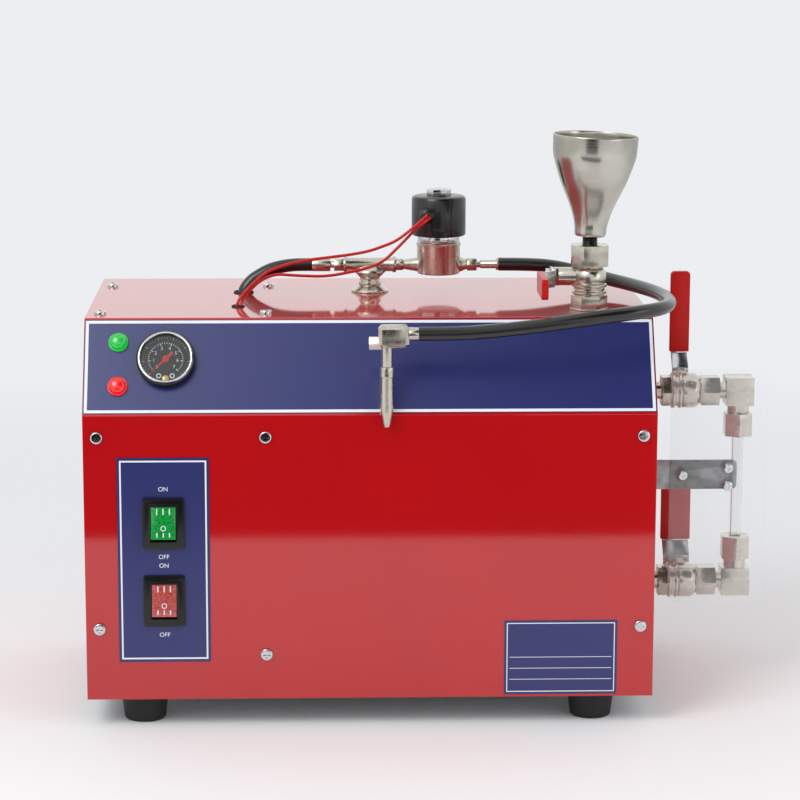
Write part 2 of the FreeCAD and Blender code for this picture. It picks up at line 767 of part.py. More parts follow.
def switch_half_height():
    """Half the height of a switch body: the rocker's sweep, its gap and the wall."""
    reach = math.hypot(ROCKER_HALF_HEIGHT, ROCKER_RISE)
    lowest = math.atan2(ROCKER_RISE, ROCKER_HALF_HEIGHT) - math.radians(ROCKER_TILT)
    return reach * math.cos(lowest) + ROCKER_GAP + SWITCH_END_WALL


def slope_openings():
    """Holes through the sloping panel for the two lamps and the gauge."""
    deep = 4 * SHEET
    holes = []
    for up in (GREEN_LAMP_UP, RED_LAMP_UP):
        holes.append(rod(on_slope(LAMP_X, up, -deep), OUT_OF_SLOPE, LAMP_BARREL_RADIUS + SLIP, 2 * deep))
    holes.append(rod(on_slope(DIAL_X, DIAL_UP, -deep), OUT_OF_SLOPE, GAUGE_CASE_RADIUS + SLIP, 2 * deep))
    return Part.makeCompound(holes)


def make_cover():
    """Front, sloping panel and top, folded from one sheet."""
    outer = OUTLINE[:4]
    inner = [(DEPTH, HEIGHT - SHEET), INNER[2], INNER[1], (SHEET, 0.0)]
    sheet = side_profile(0.0, outer + inner, WIDTH)
    bends = []
    for edge in sheet.Edges:
        y, z = edge.CenterOfMass.y, edge.CenterOfMass.z
        if edge.Length > WIDTH - 1 and (y, z) in ((0.0, FRONT_HEIGHT), (PANEL_SETBACK, HEIGHT)):
            bends.append(edge)
    sheet = sheet.makeFillet(BEND_RADIUS, bends)
    cuts = [screw_holes(), slope_openings()]
    cuts += [switch_opening(z, SLIP) for z in (GREEN_SWITCH_Z, RED_SWITCH_Z)]
    under = HEIGHT - 2 * SHEET
    cuts.append(rod(Vector(TEE_X, PORT_Y, under), AXIS_Z, PIPE_RADIUS + HOLE_GAP, 4 * SHEET))
    cuts.append(rod(Vector(FILL_X, FILL_Y, under), AXIS_Z, FILL_PIPE_RADIUS + HOLE_GAP, 4 * SHEET))
    for x, y, bore in grommet_places():
        cuts.append(rod(Vector(x, y, under), AXIS_Z, bore + GROMMET_WALL, 4 * SHEET))
    return sheet.cut(Part.makeCompound(cuts))


def end_pan(x, direction):
    """A panel across the cabinet with a flange all round, pointing along direction."""
    shell = side_profile(x, INNER, direction * FLANGE)
    hollow = side_profile(x + direction * SHEET, inset(OUTLINE, 2 * SHEET), direction * FLANGE)
    return shell.cut(hollow).cut(screw_holes())


def make_left_side():
    return end_pan(0.0, 1)


def make_right_side():
    pan = end_pan(WIDTH, -1)
    for z in LEVEL_Z:
        pan = pan.cut(rod(Vector(WIDTH - 2 * SHEET, LEVEL_Y, z), AXIS_X, PIPE_RADIUS + HOLE_GAP, 4 * SHEET))
    for z in BRACKET_Z:
        inwards = 1 if z == BRACKET_Z[0] else -1
        pan = pan.cut(rod(bracket_screw(z, inwards), AXIS_X * -1, SCREW_RADIUS + SLIP, 10 * SHEET))
    return pan


def bracket_screw(z, inwards):
    """Where a screw through the bracket's foot meets its face."""
    margin = SCREW_HEAD_RADIUS + SCREW_MARGIN
    y = GUARD_Y + GUARD_THICKNESS + BRACKET_FOOT - margin
    return Vector(WIDTH + BRACKET_THICKNESS, y, z + inwards * margin)


def make_bulkhead():
    pan = end_pan(BULKHEAD_X, -1)
    start = BULKHEAD_X - 2 * SHEET
    around = HEATER_FLANGE_RADIUS + HEATER_HOLE_GAP
    pan = pan.cut(rod(Vector(start, TANK_Y, HEATER_Z), AXIS_X, around, 4 * SHEET))
    return pan.cut(rod(pressure_switch_axis(start), AXIS_X, PIPE_RADIUS + SLIP, 4 * SHEET))


def make_rear():
    panel = block(0, WIDTH, DEPTH - SHEET, DEPTH, 0, HEIGHT - SHEET)
    inside = DEPTH - 2 * SHEET
    panel = panel.cut(rod(Vector(GLAND_X, inside, GLAND_Z), AXIS_Y, GLAND_BORE + GLAND_WALL + SLIP, 4 * SHEET))
    panel = panel.cut(rod(Vector(GLAND_X, inside, SOCKET_Z), AXIS_Y, SOCKET_RADIUS + SLIP, 4 * SHEET))
    panel = panel.cut(rod(Vector(DRAIN_X, inside, DRAIN_Z), AXIS_Y, PIPE_RADIUS + HOLE_GAP, 4 * SHEET))
    panel = panel.cut(screw_holes())
    for i in range(LOUVRE_COUNT):
        panel = add_louvre(panel, LOUVRE_Z + i * LOUVRE_PITCH)
    return panel


def add_louvre(panel, z):
    """A pressed louvre: a sloping hood over a slot, open downwards."""
    front = DEPTH - 2 * SHEET
    tip = DEPTH + LOUVRE_DEPTH
    hood = [(DEPTH, z), (tip, z), (DEPTH, z + LOUVRE_RISE)]
    hollow = [(front, z - SHEET), (tip - SHEET, z - SHEET), (tip - 1.3 * SHEET, z), (front, z + LOUVRE_RISE)]
    left = (WIDTH - LOUVRE_WIDTH) / 2
    panel = panel.fuse(side_profile(left, hood, LOUVRE_WIDTH))
    return panel.cut(side_profile(left + SHEET, hollow, LOUVRE_WIDTH - 2 * SHEET))


def make_tray():
    tray = block(0, WIDTH, SHEET, DEPTH - SHEET, 0, SHEET)
    return tray.cut(screw_holes())


def make_feet():
    """Tapered rubber feet, each with a recess for its screw head."""
    hole = SCREW_RADIUS + SLIP
    profile = [(hole, 0), (hole, -FOOT_WEB), (FOOT_RECESS_RADIUS, -FOOT_WEB),
               (FOOT_RECESS_RADIUS, -FOOT_HEIGHT), (FOOT_BASE_RADIUS - FOOT_EDGE, -FOOT_HEIGHT),
               (FOOT_BASE_RADIUS, 2 * FOOT_EDGE - FOOT_HEIGHT), (FOOT_TOP_RADIUS, 0)]
    return Part.makeCompound([turned(profile, Vector(x, y, 0)) for x, y in FEET])


def pan_screw(seat, outwards, head_radius=SCREW_HEAD_RADIUS, length=SCREW_LENGTH):
    """A pan-head screw: its seat, and the way its head looks."""
    profile = [(0, -length), (SCREW_RADIUS, -length), (SCREW_RADIUS, 0), (head_radius, 0),
               (head_radius - SCREW_HEAD_EDGE, SCREW_HEAD_HEIGHT), (0, SCREW_HEAD_HEIGHT)]
    return turned(profile, seat, outwards)


def make_screws():
    screws = [pan_screw(Vector(x, 0, z), AXIS_Y * -1) for x, z in FRONT_SCREWS]
    screws += [pan_screw(Vector(x, y, HEIGHT), AXIS_Z) for x, y in TOP_SCREWS]
    screws += [pan_screw(Vector(x, DEPTH, z), AXIS_Y) for x, z in REAR_SCREWS]
    screws += [pan_screw(Vector(x, y, -FOOT_WEB), AXIS_Z * -1, length=FOOT_WEB + 3 * SHEET) for x, y in FEET]
    screws += [pan_screw(Vector(x, GUARD_Y, z), AXIS_Y * -1, GUARD_SCREW_RADIUS) for x, z in GUARD_SCREWS]
    screws += [pan_screw(bracket_screw(z, i), AXIS_X) for z, i in zip(BRACKET_Z, (1, -1))]
    return Part.makeCompound(screws)


def make_overlay():
    """The printed sheet that covers the sloping panel."""
    low = OVERLAY_MARGIN + BEND_RADIUS
    high = SLOPE_LENGTH - OVERLAY_MARGIN - BEND_RADIUS
    corners = [on_slope(OVERLAY_MARGIN, low), on_slope(WIDTH - OVERLAY_MARGIN, low),
               on_slope(WIDTH - OVERLAY_MARGIN, high), on_slope(OVERLAY_MARGIN, high)]
    sheet = Part.Face(Part.makePolygon(corners + corners[:1])).extrude(OUT_OF_SLOPE * OVERLAY)
    return sheet.cut(slope_openings())


def make_switch_plate():
    half_width = SWITCH_PLATE_WIDTH / 2
    half_height = SWITCH_PLATE_HEIGHT / 2
    plate = block(SWITCH_X - half_width, SWITCH_X + half_width, SWITCH_FRONT, 0,
                  SWITCH_PLATE_Z - half_height, SWITCH_PLATE_Z + half_height)
    for z in (GREEN_SWITCH_Z, RED_SWITCH_Z):
        plate = plate.cut(switch_opening(z, SLIP))
    return plate


def make_rating_plate():
    right = RATING_PLATE_X + RATING_PLATE_WIDTH
    top = RATING_PLATE_LOW + RATING_PLATE_HEIGHT
    return block(RATING_PLATE_X, right, -OVERLAY, 0, RATING_PLATE_LOW, top)


# ------------------------------------------------- switches, lamps and gauge
def switch_body(z):
    """A snap-in rocker switch body with its bezel, pocket and blade terminals."""
    half_width = ROCKER_WIDTH / 2 + ROCKER_GAP
    half_height = switch_half_height()
    inner_height = half_height - SWITCH_END_WALL
    front = SWITCH_FRONT - BEZEL_THICKNESS
    body = rounded_plate(SWITCH_X - BEZEL_WIDTH / 2, SWITCH_X + BEZEL_WIDTH / 2,
                         z - BEZEL_HEIGHT / 2, z + BEZEL_HEIGHT / 2, front, SWITCH_FRONT, BEZEL_CORNER)
    rim = half_width + RIM_WIDTH
    body = body.fuse(block(SWITCH_X - rim, SWITCH_X + rim, front - RIM_HEIGHT, front,
                           z - inner_height - RIM_WIDTH, z + inner_height + RIM_WIDTH))
    wall = half_width + SWITCH_WALL
    body = body.fuse(block(SWITCH_X - wall, SWITCH_X + wall, SWITCH_FRONT, SWITCH_DEPTH,
                           z - half_height, z + half_height))
    body = body.cut(block(SWITCH_X - half_width, SWITCH_X + half_width, front - 2 * RIM_HEIGHT, SWITCH_POCKET,
                          z - inner_height, z + inner_height))
    pivot = half_width + SWITCH_WALL - PIN_END_WALL
    pivot_end = Vector(SWITCH_X - pivot, ROCKER_PIVOT_DEPTH, z)
    body = body.cut(rod(pivot_end, AXIS_X, ROCKER_PIN_RADIUS + SLIP, 2 * pivot))
    for column in (-1, 1):
        left = SWITCH_X + column * TERMINAL_COLUMN - TERMINAL_THICKNESS / 2
        for row in (-1, 0, 1):
            low = z + row * TERMINAL_PITCH - TERMINAL_WIDTH / 2
            body = body.fuse(block(left, left + TERMINAL_THICKNESS, SWITCH_DEPTH,
                                   SWITCH_DEPTH + TERMINAL_LENGTH, low, low + TERMINAL_WIDTH))
    return body


def make_switch_bodies():
    return Part.makeCompound([switch_body(GREEN_SWITCH_Z), switch_body(RED_SWITCH_Z)])


def rocker(z):
    """The tilting button, resting with its top end pressed in."""
    skirt = ROCKER_HALF_HEIGHT - ROCKER_SKIRT_INSET
    points = [(-ROCKER_RISE, ROCKER_HALF_HEIGHT), (-ROCKER_RISE + ROCKER_DIP, 0),
              (-ROCKER_RISE, -ROCKER_HALF_HEIGHT), (-ROCKER_SKIRT, -skirt),
              (ROCKER_BACK, -ROCKER_BACK_HALF), (ROCKER_BACK, ROCKER_BACK_HALF), (-ROCKER_SKIRT, skirt)]
    half_width = ROCKER_WIDTH / 2
    button = side_profile(-half_width, points, ROCKER_WIDTH)
    pin = half_width + ROCKER_GAP + SWITCH_WALL - PIN_END_WALL - PIN_END_GAP
    button = button.fuse(rod(Vector(-pin, 0, 0), AXIS_X, ROCKER_PIN_RADIUS, 2 * pin))
    button.Placement = Placement(Vector(SWITCH_X, ROCKER_PIVOT_DEPTH, z), Rotation(AXIS_X, -ROCKER_TILT))
    return button


def lamp(up):
    """A pilot lamp: barrel through the panel, and a lens with a cut crown."""
    profile = [(0, -LAMP_BARREL_LENGTH), (LAMP_BARREL_RADIUS, -LAMP_BARREL_LENGTH),
               (LAMP_BARREL_RADIUS, OVERLAY), (LAMP_RADIUS, OVERLAY), (LAMP_RADIUS, LAMP_COLLAR),
               (LAMP_RADIUS - LAMP_BEVEL, LAMP_COLLAR + LAMP_FACET),
               (LAMP_RADIUS - LAMP_CROWN, LAMP_COLLAR + 2 * LAMP_FACET), (0, LAMP_HEIGHT)]
    return turned(profile, on_slope(LAMP_X, up), OUT_OF_SLOPE)


GAUGE_SEAT = on_slope(DIAL_X, DIAL_UP)
LENS_TOP = GAUGE_PROUD - GAUGE_LIP
DIAL_BACK = DIAL_TOP - DIAL_THICKNESS


def make_gauge_case():
    """The gauge's can, with its back connection and the bore for the pointer's shaft."""
    inner = GAUGE_CASE_RADIUS - GAUGE_CAN_WALL
    shaft = POINTER_SHAFT_RADIUS + SLIP
    back = -GAUGE_CASE_DEPTH - GAUGE_STEM_LENGTH
    profile = [(shaft, DIAL_BACK), (inner, DIAL_BACK), (inner, DIAL_TOP), (GAUGE_CASE_RADIUS, DIAL_TOP),
               (GAUGE_CASE_RADIUS, -GAUGE_CASE_DEPTH), (GAUGE_STEM_RADIUS, -GAUGE_CASE_DEPTH),
               (GAUGE_STEM_RADIUS, back), (GAUGE_STEM_BORE, back), (GAUGE_STEM_BORE, -POINTER_SHAFT_LENGTH),
               (shaft, -POINTER_SHAFT_LENGTH)]
    return turned(profile, GAUGE_SEAT, OUT_OF_SLOPE)


def make_gauge_bezel():
    """The raised ring round the dial, with a lip that holds the lens."""
    inner = GAUGE_CASE_RADIUS + SLIP
    lip = GAUGE_CASE_RADIUS - GAUGE_LIP
    profile = [(inner, OVERLAY), (GAUGE_RADIUS, OVERLAY), (GAUGE_RADIUS, GAUGE_PROUD - GAUGE_EDGE),
               (GAUGE_RADIUS - GAUGE_EDGE, GAUGE_PROUD), (lip, GAUGE_PROUD), (lip, LENS_TOP),
               (inner, LENS_TOP)]
    return turned(profile, GAUGE_SEAT, OUT_OF_SLOPE)


def make_gauge_dial():
    hole = POINTER_SHAFT_RADIUS + DIAL_HOLE_GAP
    outer = GAUGE_CASE_RADIUS - GAUGE_CAN_WALL - SLIP
    profile = [(hole, DIAL_BACK), (outer, DIAL_BACK), (outer, DIAL_TOP), (hole, DIAL_TOP)]
    return turned(profile, GAUGE_SEAT, OUT_OF_SLOPE)


def make_gauge_lens():
    disc = turned([(0, 0), (GAUGE_CASE_RADIUS - SLIP, 0), (GAUGE_CASE_RADIUS - SLIP, LENS_THICKNESS),
                   (0, LENS_THICKNESS)])
    disc.Placement = Placement(GAUGE_SEAT + OUT_OF_SLOPE * (LENS_TOP - LENS_THICKNESS),
                               Rotation(AXIS_Z, OUT_OF_SLOPE))
    return disc


def make_gauge_pointer():
    """Needle, tail, hub and shaft; the needle points at the low end of the scale."""
    tip = POINTER_LENGTH
    tail = -POINTER_TAIL
    half = POINTER_HALF_WIDTH
    outline = [Vector(tail, -1.4 * half, 0), Vector(tip, -0.25 * half, 0),
               Vector(tip, 0.25 * half, 0), Vector(tail, 1.4 * half, 0)]
    needle = Part.Face(Part.makePolygon(outline + outline[:1])).extrude(AXIS_Z * POINTER_THICKNESS)
    hub = rod(Vector(0, 0, 0), AXIS_Z, POINTER_HUB_RADIUS, POINTER_THICKNESS + POINTER_HUB_PROUD)
    shaft = rod(Vector(0, 0, -POINTER_SHAFT_LENGTH), AXIS_Z, POINTER_SHAFT_RADIUS, POINTER_SHAFT_LENGTH)
    pointer = needle.fuse([hub, shaft])
    frame = Rotation(AXIS_X, UP_SLOPE, OUT_OF_SLOPE, "XYZ")
    turn = Rotation(AXIS_Z, POINTER_ZERO)
    place = GAUGE_SEAT + OUT_OF_SLOPE * (DIAL_TOP + NEEDLE_GAP)
    pointer.Placement = Placement(place, frame.multiply(turn))
    return pointer


# -------------------------------------------------------------------- boiler
def tank_outline(shrink):
    """Half section of the vessel, with dished ends, as (radius, x) edges."""
    radius = TANK_RADIUS - shrink
    ball = (TANK_RADIUS**2 + TANK_DISH**2) / (2 * TANK_DISH)
    sunk = ball - TANK_DISH
    ball -= shrink
    half = math.asin(radius / ball)
    reaches = [ball * math.cos(share * half) - sunk for share in (0, 0.5, 1)]
    heights = [ball * math.sin(share * half) for share in (0, 0.5, 1)]
    left = [Vector(TANK_X[0] - reach, 0, height) for reach, height in zip(reaches, heights)]
    right = [Vector(TANK_X[1] + reach, 0, height) for reach, height in zip(reaches, heights)]
    left_end = Part.Arc(*left).toShape()
    right_end = Part.Arc(*right).toShape()
    shell = Part.LineSegment(left[2], right[2]).toShape()
    axis = Part.LineSegment(right[0], left[0]).toShape()
    outline = Part.Wire(Part.sortEdges([left_end, shell, right_end, axis])[0])
    solid = Part.Face(outline).revolve(Vector(0, 0, 0), AXIS_X, 360)
    solid.translate(Vector(0, TANK_Y, TANK_Z))
    return solid


def riser_foot(y):
    """Where a riser ends inside the vessel, at a distance y from the front."""
    return TANK_Z + math.sqrt((TANK_RADIUS - TANK_WALL) ** 2 - (y - TANK_Y) ** 2) - RISER_DIP


def pressure_switch_axis(x):
    return Vector(x, TANK_Y + SWITCH_TAP_BACK, TANK_Z + SWITCH_TAP_UP)


def heater_face():
    """Where the heater's flange sits in front of the vessel's left end."""
    return TANK_X[0] - TANK_DISH - HEATER_NECK


def make_tank():
    """A welded steel vessel with sockets for the heater, the taps and the drain."""
    end = TANK_X[1]
    left_end = TANK_X[0] + TANK_DISH
    solid = tank_outline(0.0)
    socket = Vector(heater_face(), TANK_Y, HEATER_Z)
    solid = solid.fuse(rod(socket, AXIS_X, HEATER_FLANGE_RADIUS, 2 * TANK_DISH))
    reach = VALVE_X - GAUGE_VALVE.inlet_reach + SPIGOT_DEPTH - end
    for z in LEVEL_Z:
        solid = solid.fuse(rod(Vector(end, LEVEL_Y, z), AXIS_X, PIPE_RADIUS, reach))
    drain = Vector(DRAIN_X, TANK_Y, DRAIN_Z)
    drain_length = DEPTH + DRAIN_REACH - TANK_Y
    solid = solid.fuse(rod(drain, AXIS_Y, PIPE_RADIUS, drain_length))
    switch = pressure_switch_axis(BULKHEAD_X - SWITCH_TAP_REACH)
    solid = solid.fuse(rod(switch, AXIS_X, PIPE_RADIUS, left_end - switch.x))
    solid = solid.cut(tank_outline(TANK_WALL))
    mouth = HEATER_FLANGE_RADIUS - HEATER_FLANGE_RING
    solid = solid.cut(rod(Vector(0, TANK_Y, HEATER_Z), AXIS_X, mouth, left_end))
    for z in LEVEL_Z:
        solid = solid.cut(rod(Vector(end - TANK_DISH, LEVEL_Y, z), AXIS_X, PIPE_BORE, reach + TANK_DISH))
    solid = solid.cut(rod(drain, AXIS_Y, PIPE_BORE, drain_length))
    solid = solid.cut(rod(switch, AXIS_X, PIPE_BORE, left_end - switch.x))
    for x, y, radius in ((TEE_X, PORT_Y, PIPE_RADIUS), (FILL_X, FILL_Y, FILL_PIPE_RADIUS)):
        foot = Vector(x, y, riser_foot(y) - RISER_DIP)
        solid = solid.cut(rod(foot, AXIS_Z, radius + SLIP, TANK_RADIUS))
    return solid


def make_risers():
    """The steam riser to the tee and the fill pipe to the fill valve."""
    steam_foot = Vector(TEE_X, PORT_Y, riser_foot(PORT_Y))
    fill_foot = Vector(FILL_X, FILL_Y, riser_foot(FILL_Y))
    steam_top = PORT_Z - RISER_END_GAP
    fill_top = FILL_VALVE_Z - FILL_INLET_REACH + SPIGOT_DEPTH
    steam = pipe(steam_foot, AXIS_Z, PIPE_RADIUS, PIPE_BORE, steam_top - steam_foot.z)
    fill = pipe(fill_foot, AXIS_Z, FILL_PIPE_RADIUS, FILL_PIPE_BORE, fill_top - fill_foot.z)
    return Part.makeCompound([steam, fill])


def make_supports():
    """Two cradles on the tray and a strap from each over the vessel."""
    pieces = []
    seat = TANK_RADIUS + SEAT_GAP
    vessel = rod(Vector(0, TANK_Y, TANK_Z), AXIS_X, seat, WIDTH)
    top = TANK_Z - math.sqrt(seat**2 - CRADLE_HALF_WIDTH**2) + CRADLE_HORN
    front = TANK_Y - CRADLE_HALF_WIDTH
    back = TANK_Y + CRADLE_HALF_WIDTH
    for x in CRADLE_X:
        web = block(x, x + CRADLE_THICKNESS, front, back, SHEET, top)
        foot = block(x, x + STRAP_WIDTH, front, back, SHEET, SHEET + CRADLE_THICKNESS)
        pieces.append(web.fuse(foot).cut(vessel))
        band = rod(Vector(x, TANK_Y, TANK_Z), AXIS_X, seat + STRAP_THICKNESS, STRAP_WIDTH)
        under = block(x - SHEET, x + STRAP_WIDTH + SHEET, 0, DEPTH, 0, top)
        pieces.append(band.cut(vessel).cut(under))
    return Part.makeCompound(pieces)


def make_heater():
    """A flange with two hairpin elements inside the vessel and four terminals."""
    start = heater_face() - HEATER_FLANGE
    heater = rod(Vector(start, TANK_Y, HEATER_Z), AXIS_X, HEATER_FLANGE_RADIUS, HEATER_FLANGE)
    for side in (-1, 1):
        y = TANK_Y + side * HEATER_ROD_SPREAD
        for level in (-1, 1):
            leg = Vector(start, y, HEATER_Z + level * HEATER_ROD_SPREAD)
            pin = leg - AXIS_X * HEATER_PIN_LENGTH
            heater = heater.fuse(rod(leg, AXIS_X, HEATER_ROD_RADIUS, HEATER_LENGTH))
            heater = heater.fuse(rod(pin, AXIS_X, HEATER_PIN_RADIUS, HEATER_PIN_LENGTH))
        bend = Part.makeTorus(HEATER_ROD_SPREAD, HEATER_ROD_RADIUS, Vector(0, 0, 0), AXIS_Y, -180, 180, 180)
        bend.Placement = Placement(Vector(start + HEATER_LENGTH, y, HEATER_Z), Rotation(AXIS_Y, 90))
        heater = heater.fuse(bend)
    return heater


def make_safety_valve():
    """A spring-loaded relief valve on its own branch of the vessel's top."""
    foot = Vector((TEE_X + FILL_X) / 2, TANK_Y, TANK_Z + TANK_RADIUS - SHEET)
    collar = SAFETY_FOOT + SAFETY_COLLAR
    body = collar + SAFETY_BODY
    profile = [(0, 0), (SAFETY_RADIUS, 0), (SAFETY_RADIUS, SAFETY_FOOT), (SAFETY_COLLAR_RADIUS, SAFETY_FOOT),
               (SAFETY_COLLAR_RADIUS, collar), (SAFETY_RADIUS, collar + SAFETY_EDGE), (SAFETY_RADIUS, body),
               (SAFETY_CAP_RADIUS, body + SAFETY_EDGE), (SAFETY_CAP_RADIUS, body + SAFETY_CAP),
               (0, body + SAFETY_CAP)]
    return turned(profile, foot).cut(rod(Vector(0, TANK_Y, TANK_Z), AXIS_X, TANK_RADIUS, WIDTH))


def make_pressure_switch():
    """A drum-shaped pressure switch on its tap."""
    drum = DRUM_NECK + DRUM_EDGE
    cap = drum + DRUM_DEPTH + DRUM_EDGE
    profile = [(0, 0), (DRUM_NECK_RADIUS, 0), (DRUM_NECK_RADIUS, DRUM_NECK), (DRUM_RADIUS, drum),
               (DRUM_RADIUS, drum + DRUM_DEPTH), (DRUM_CAP_RADIUS, cap), (DRUM_CAP_RADIUS, cap + DRUM_CAP),
               (0, cap + DRUM_CAP)]
    return turned(profile, pressure_switch_axis(BULKHEAD_X - SWITCH_TAP_REACH), AXIS_X * -1)


def make_relay():
    """The contactor that switches the heater, on the bulkhead, under the lead holes."""
    x1 = BULKHEAD_X - SHEET
    y1 = RELAY_Y + RELAY_WIDTH
    low = LEAD_END - RELAY_HEIGHT
    left = x1 - RELAY_LENGTH
    relay = block(left, x1, RELAY_Y, y1, low, LEAD_END)
    for y in (RELAY_Y, y1 - RELAY_SHOULDER):
        for z in (low, LEAD_END - RELAY_SHOULDER):
            corner = block(left, x1 - RELAY_SHOULDER, y, y + RELAY_SHOULDER, z, z + RELAY_SHOULDER)
            relay = relay.cut(corner)
    return relay


# ------------------------------------------------------ fittings on the top
def grommet_places():
    """Centres and bores of the two grommets in the top: the line's and the leads'."""
    return [(*LINE_HOLE, LINE_GROMMET_BORE), (*LEAD_HOLE, LEAD_GROMMET_BORE)]


def make_grommets():
    rings = []
    for x, y, bore in grommet_places():
        neck = bore + GROMMET_WALL - SLIP
        lip = bore + GROMMET_WALL + GROMMET_LIP
        profile = [(bore, -SHEET - GROMMET_TUCK), (lip, -SHEET - GROMMET_TUCK), (lip, -SHEET), (neck, -SHEET),
                   (neck, 0), (lip, 0), (lip - GROMMET_EDGE, GROMMET_RIM), (bore, GROMMET_RIM)]
        rings.append(turned(profile, Vector(x, y, HEIGHT)))
    return Part.makeCompound(rings)


def make_lock_nuts():
    """The dished lock nut under the tee and the washer under the fill valve."""
    riser = PIPE_RADIUS + SLIP
    fill_pipe = FILL_PIPE_RADIUS + SLIP
    nut = turned([(riser, 0), (LOCK_NUT_RADIUS, 0), (LOCK_NUT_RADIUS, LOCK_NUT_EDGE),
                  (LOCK_NUT_CROWN_RADIUS, LOCK_NUT_HEIGHT), (riser, LOCK_NUT_HEIGHT)],
                 Vector(TEE_X, PORT_Y, HEIGHT))
    washer = pipe(Vector(FILL_X, FILL_Y, HEIGHT), AXIS_Z, WASHER_RADIUS, fill_pipe, WASHER_HEIGHT)
    return Part.makeCompound([nut, washer])


def make_tee():
    """A cast tee: a run with banded ends, and a bell-mouthed branch downwards."""
    centre = Vector(TEE_X, PORT_Y, PORT_Z)
    start = centre - AXIS_X * TEE_HALF_LENGTH
    run = rod(start, AXIS_X, TEE_RADIUS, 2 * TEE_HALF_LENGTH)
    for band in (start, centre + AXIS_X * (TEE_HALF_LENGTH - TEE_BAND)):
        run = run.fuse(rod(band, AXIS_X, TEE_BAND_RADIUS, TEE_BAND))
    end = HEIGHT + LOCK_NUT_HEIGHT - PORT_Z
    lip = -TEE_BELL_TOP - TEE_BELL_LIP
    branch = turned([(0, TEE_BELL_CROWN), (TEE_BAND_RADIUS, 0),
                     (TEE_BELL_RADIUS - TEE_BELL_EDGE, -TEE_BELL_TOP),
                     (TEE_BELL_RADIUS, lip), (TEE_NECK_RADIUS, lip - TEE_BELL_SLOPE),
                     (TEE_NECK_RADIUS, end + TEE_FOOT), (TEE_FOOT_RADIUS, end + TEE_FOOT),
                     (TEE_FOOT_RADIUS, end), (0, end)], centre)
    tee = run.fuse(branch)
    tee = tee.cut(rod(start, AXIS_X, PIPE_BORE, 2 * TEE_HALF_LENGTH))
    foot = Vector(TEE_X, PORT_Y, HEIGHT)
    tee = tee.cut(rod(foot, AXIS_Z, PIPE_RADIUS + SLIP, PORT_Z - RISER_END_GAP - HEIGHT))
    return tee.cut(rod(foot, AXIS_Z, PIPE_BORE, PORT_Z - HEIGHT))


def hose_tail(start, direction):
    """A hexagon and a barb, pointing the way the hose leaves."""
    hexagon = prism(start, direction, HOSE_TAIL_FLATS, 6, HOSE_TAIL_HEX)
    barb = rod(start, direction, BARB_RADIUS, TAIL_REACH)
    return hexagon.fuse(barb).cut(rod(start, direction, TAIL_BORE, TAIL_REACH))


def make_hose_tails():
    """Barbed tails on the tee and the valve, each with a sleeve crimped on its barb."""
    inner = BARB_RADIUS + SLIP
    line = pipe(LINE_START, AXIS_X, FERRULE_RADIUS, inner, FERRULE_LENGTH)
    flange = FERRULE_LENGTH - SHANK_FLANGE
    outlet = turned([(inner, 0), (SHANK_RADIUS, 0), (SHANK_RADIUS, flange), (SHANK_FLANGE_RADIUS, flange),
                     (SHANK_FLANGE_RADIUS, FERRULE_LENGTH), (inner, FERRULE_LENGTH)],
                    HOSE_START - AXIS_X * FERRULE_LENGTH, AXIS_X)
    tails = [hose_tail(LINE_TAIL, AXIS_X * -1), hose_tail(HOSE_TAIL, AXIS_X)]
    return Part.makeCompound(tails + [line, outlet])


def make_pressure_line():
    """The black tube from the tee through the top to the back of the gauge."""
    back = GAUGE_CASE_DEPTH + GAUGE_STEM_LENGTH
    end = GAUGE_SEAT - OUT_OF_SLOPE * back
    before = end - OUT_OF_SLOPE * LINE_ARRIVES
    points = [LINE_START, LINE_START + Vector(*LINE_LEAVES)] + off_bulkhead(LINE_ROUTE) + [before, end]
    return flexible("pressure_line", points, LINE_RADIUS)


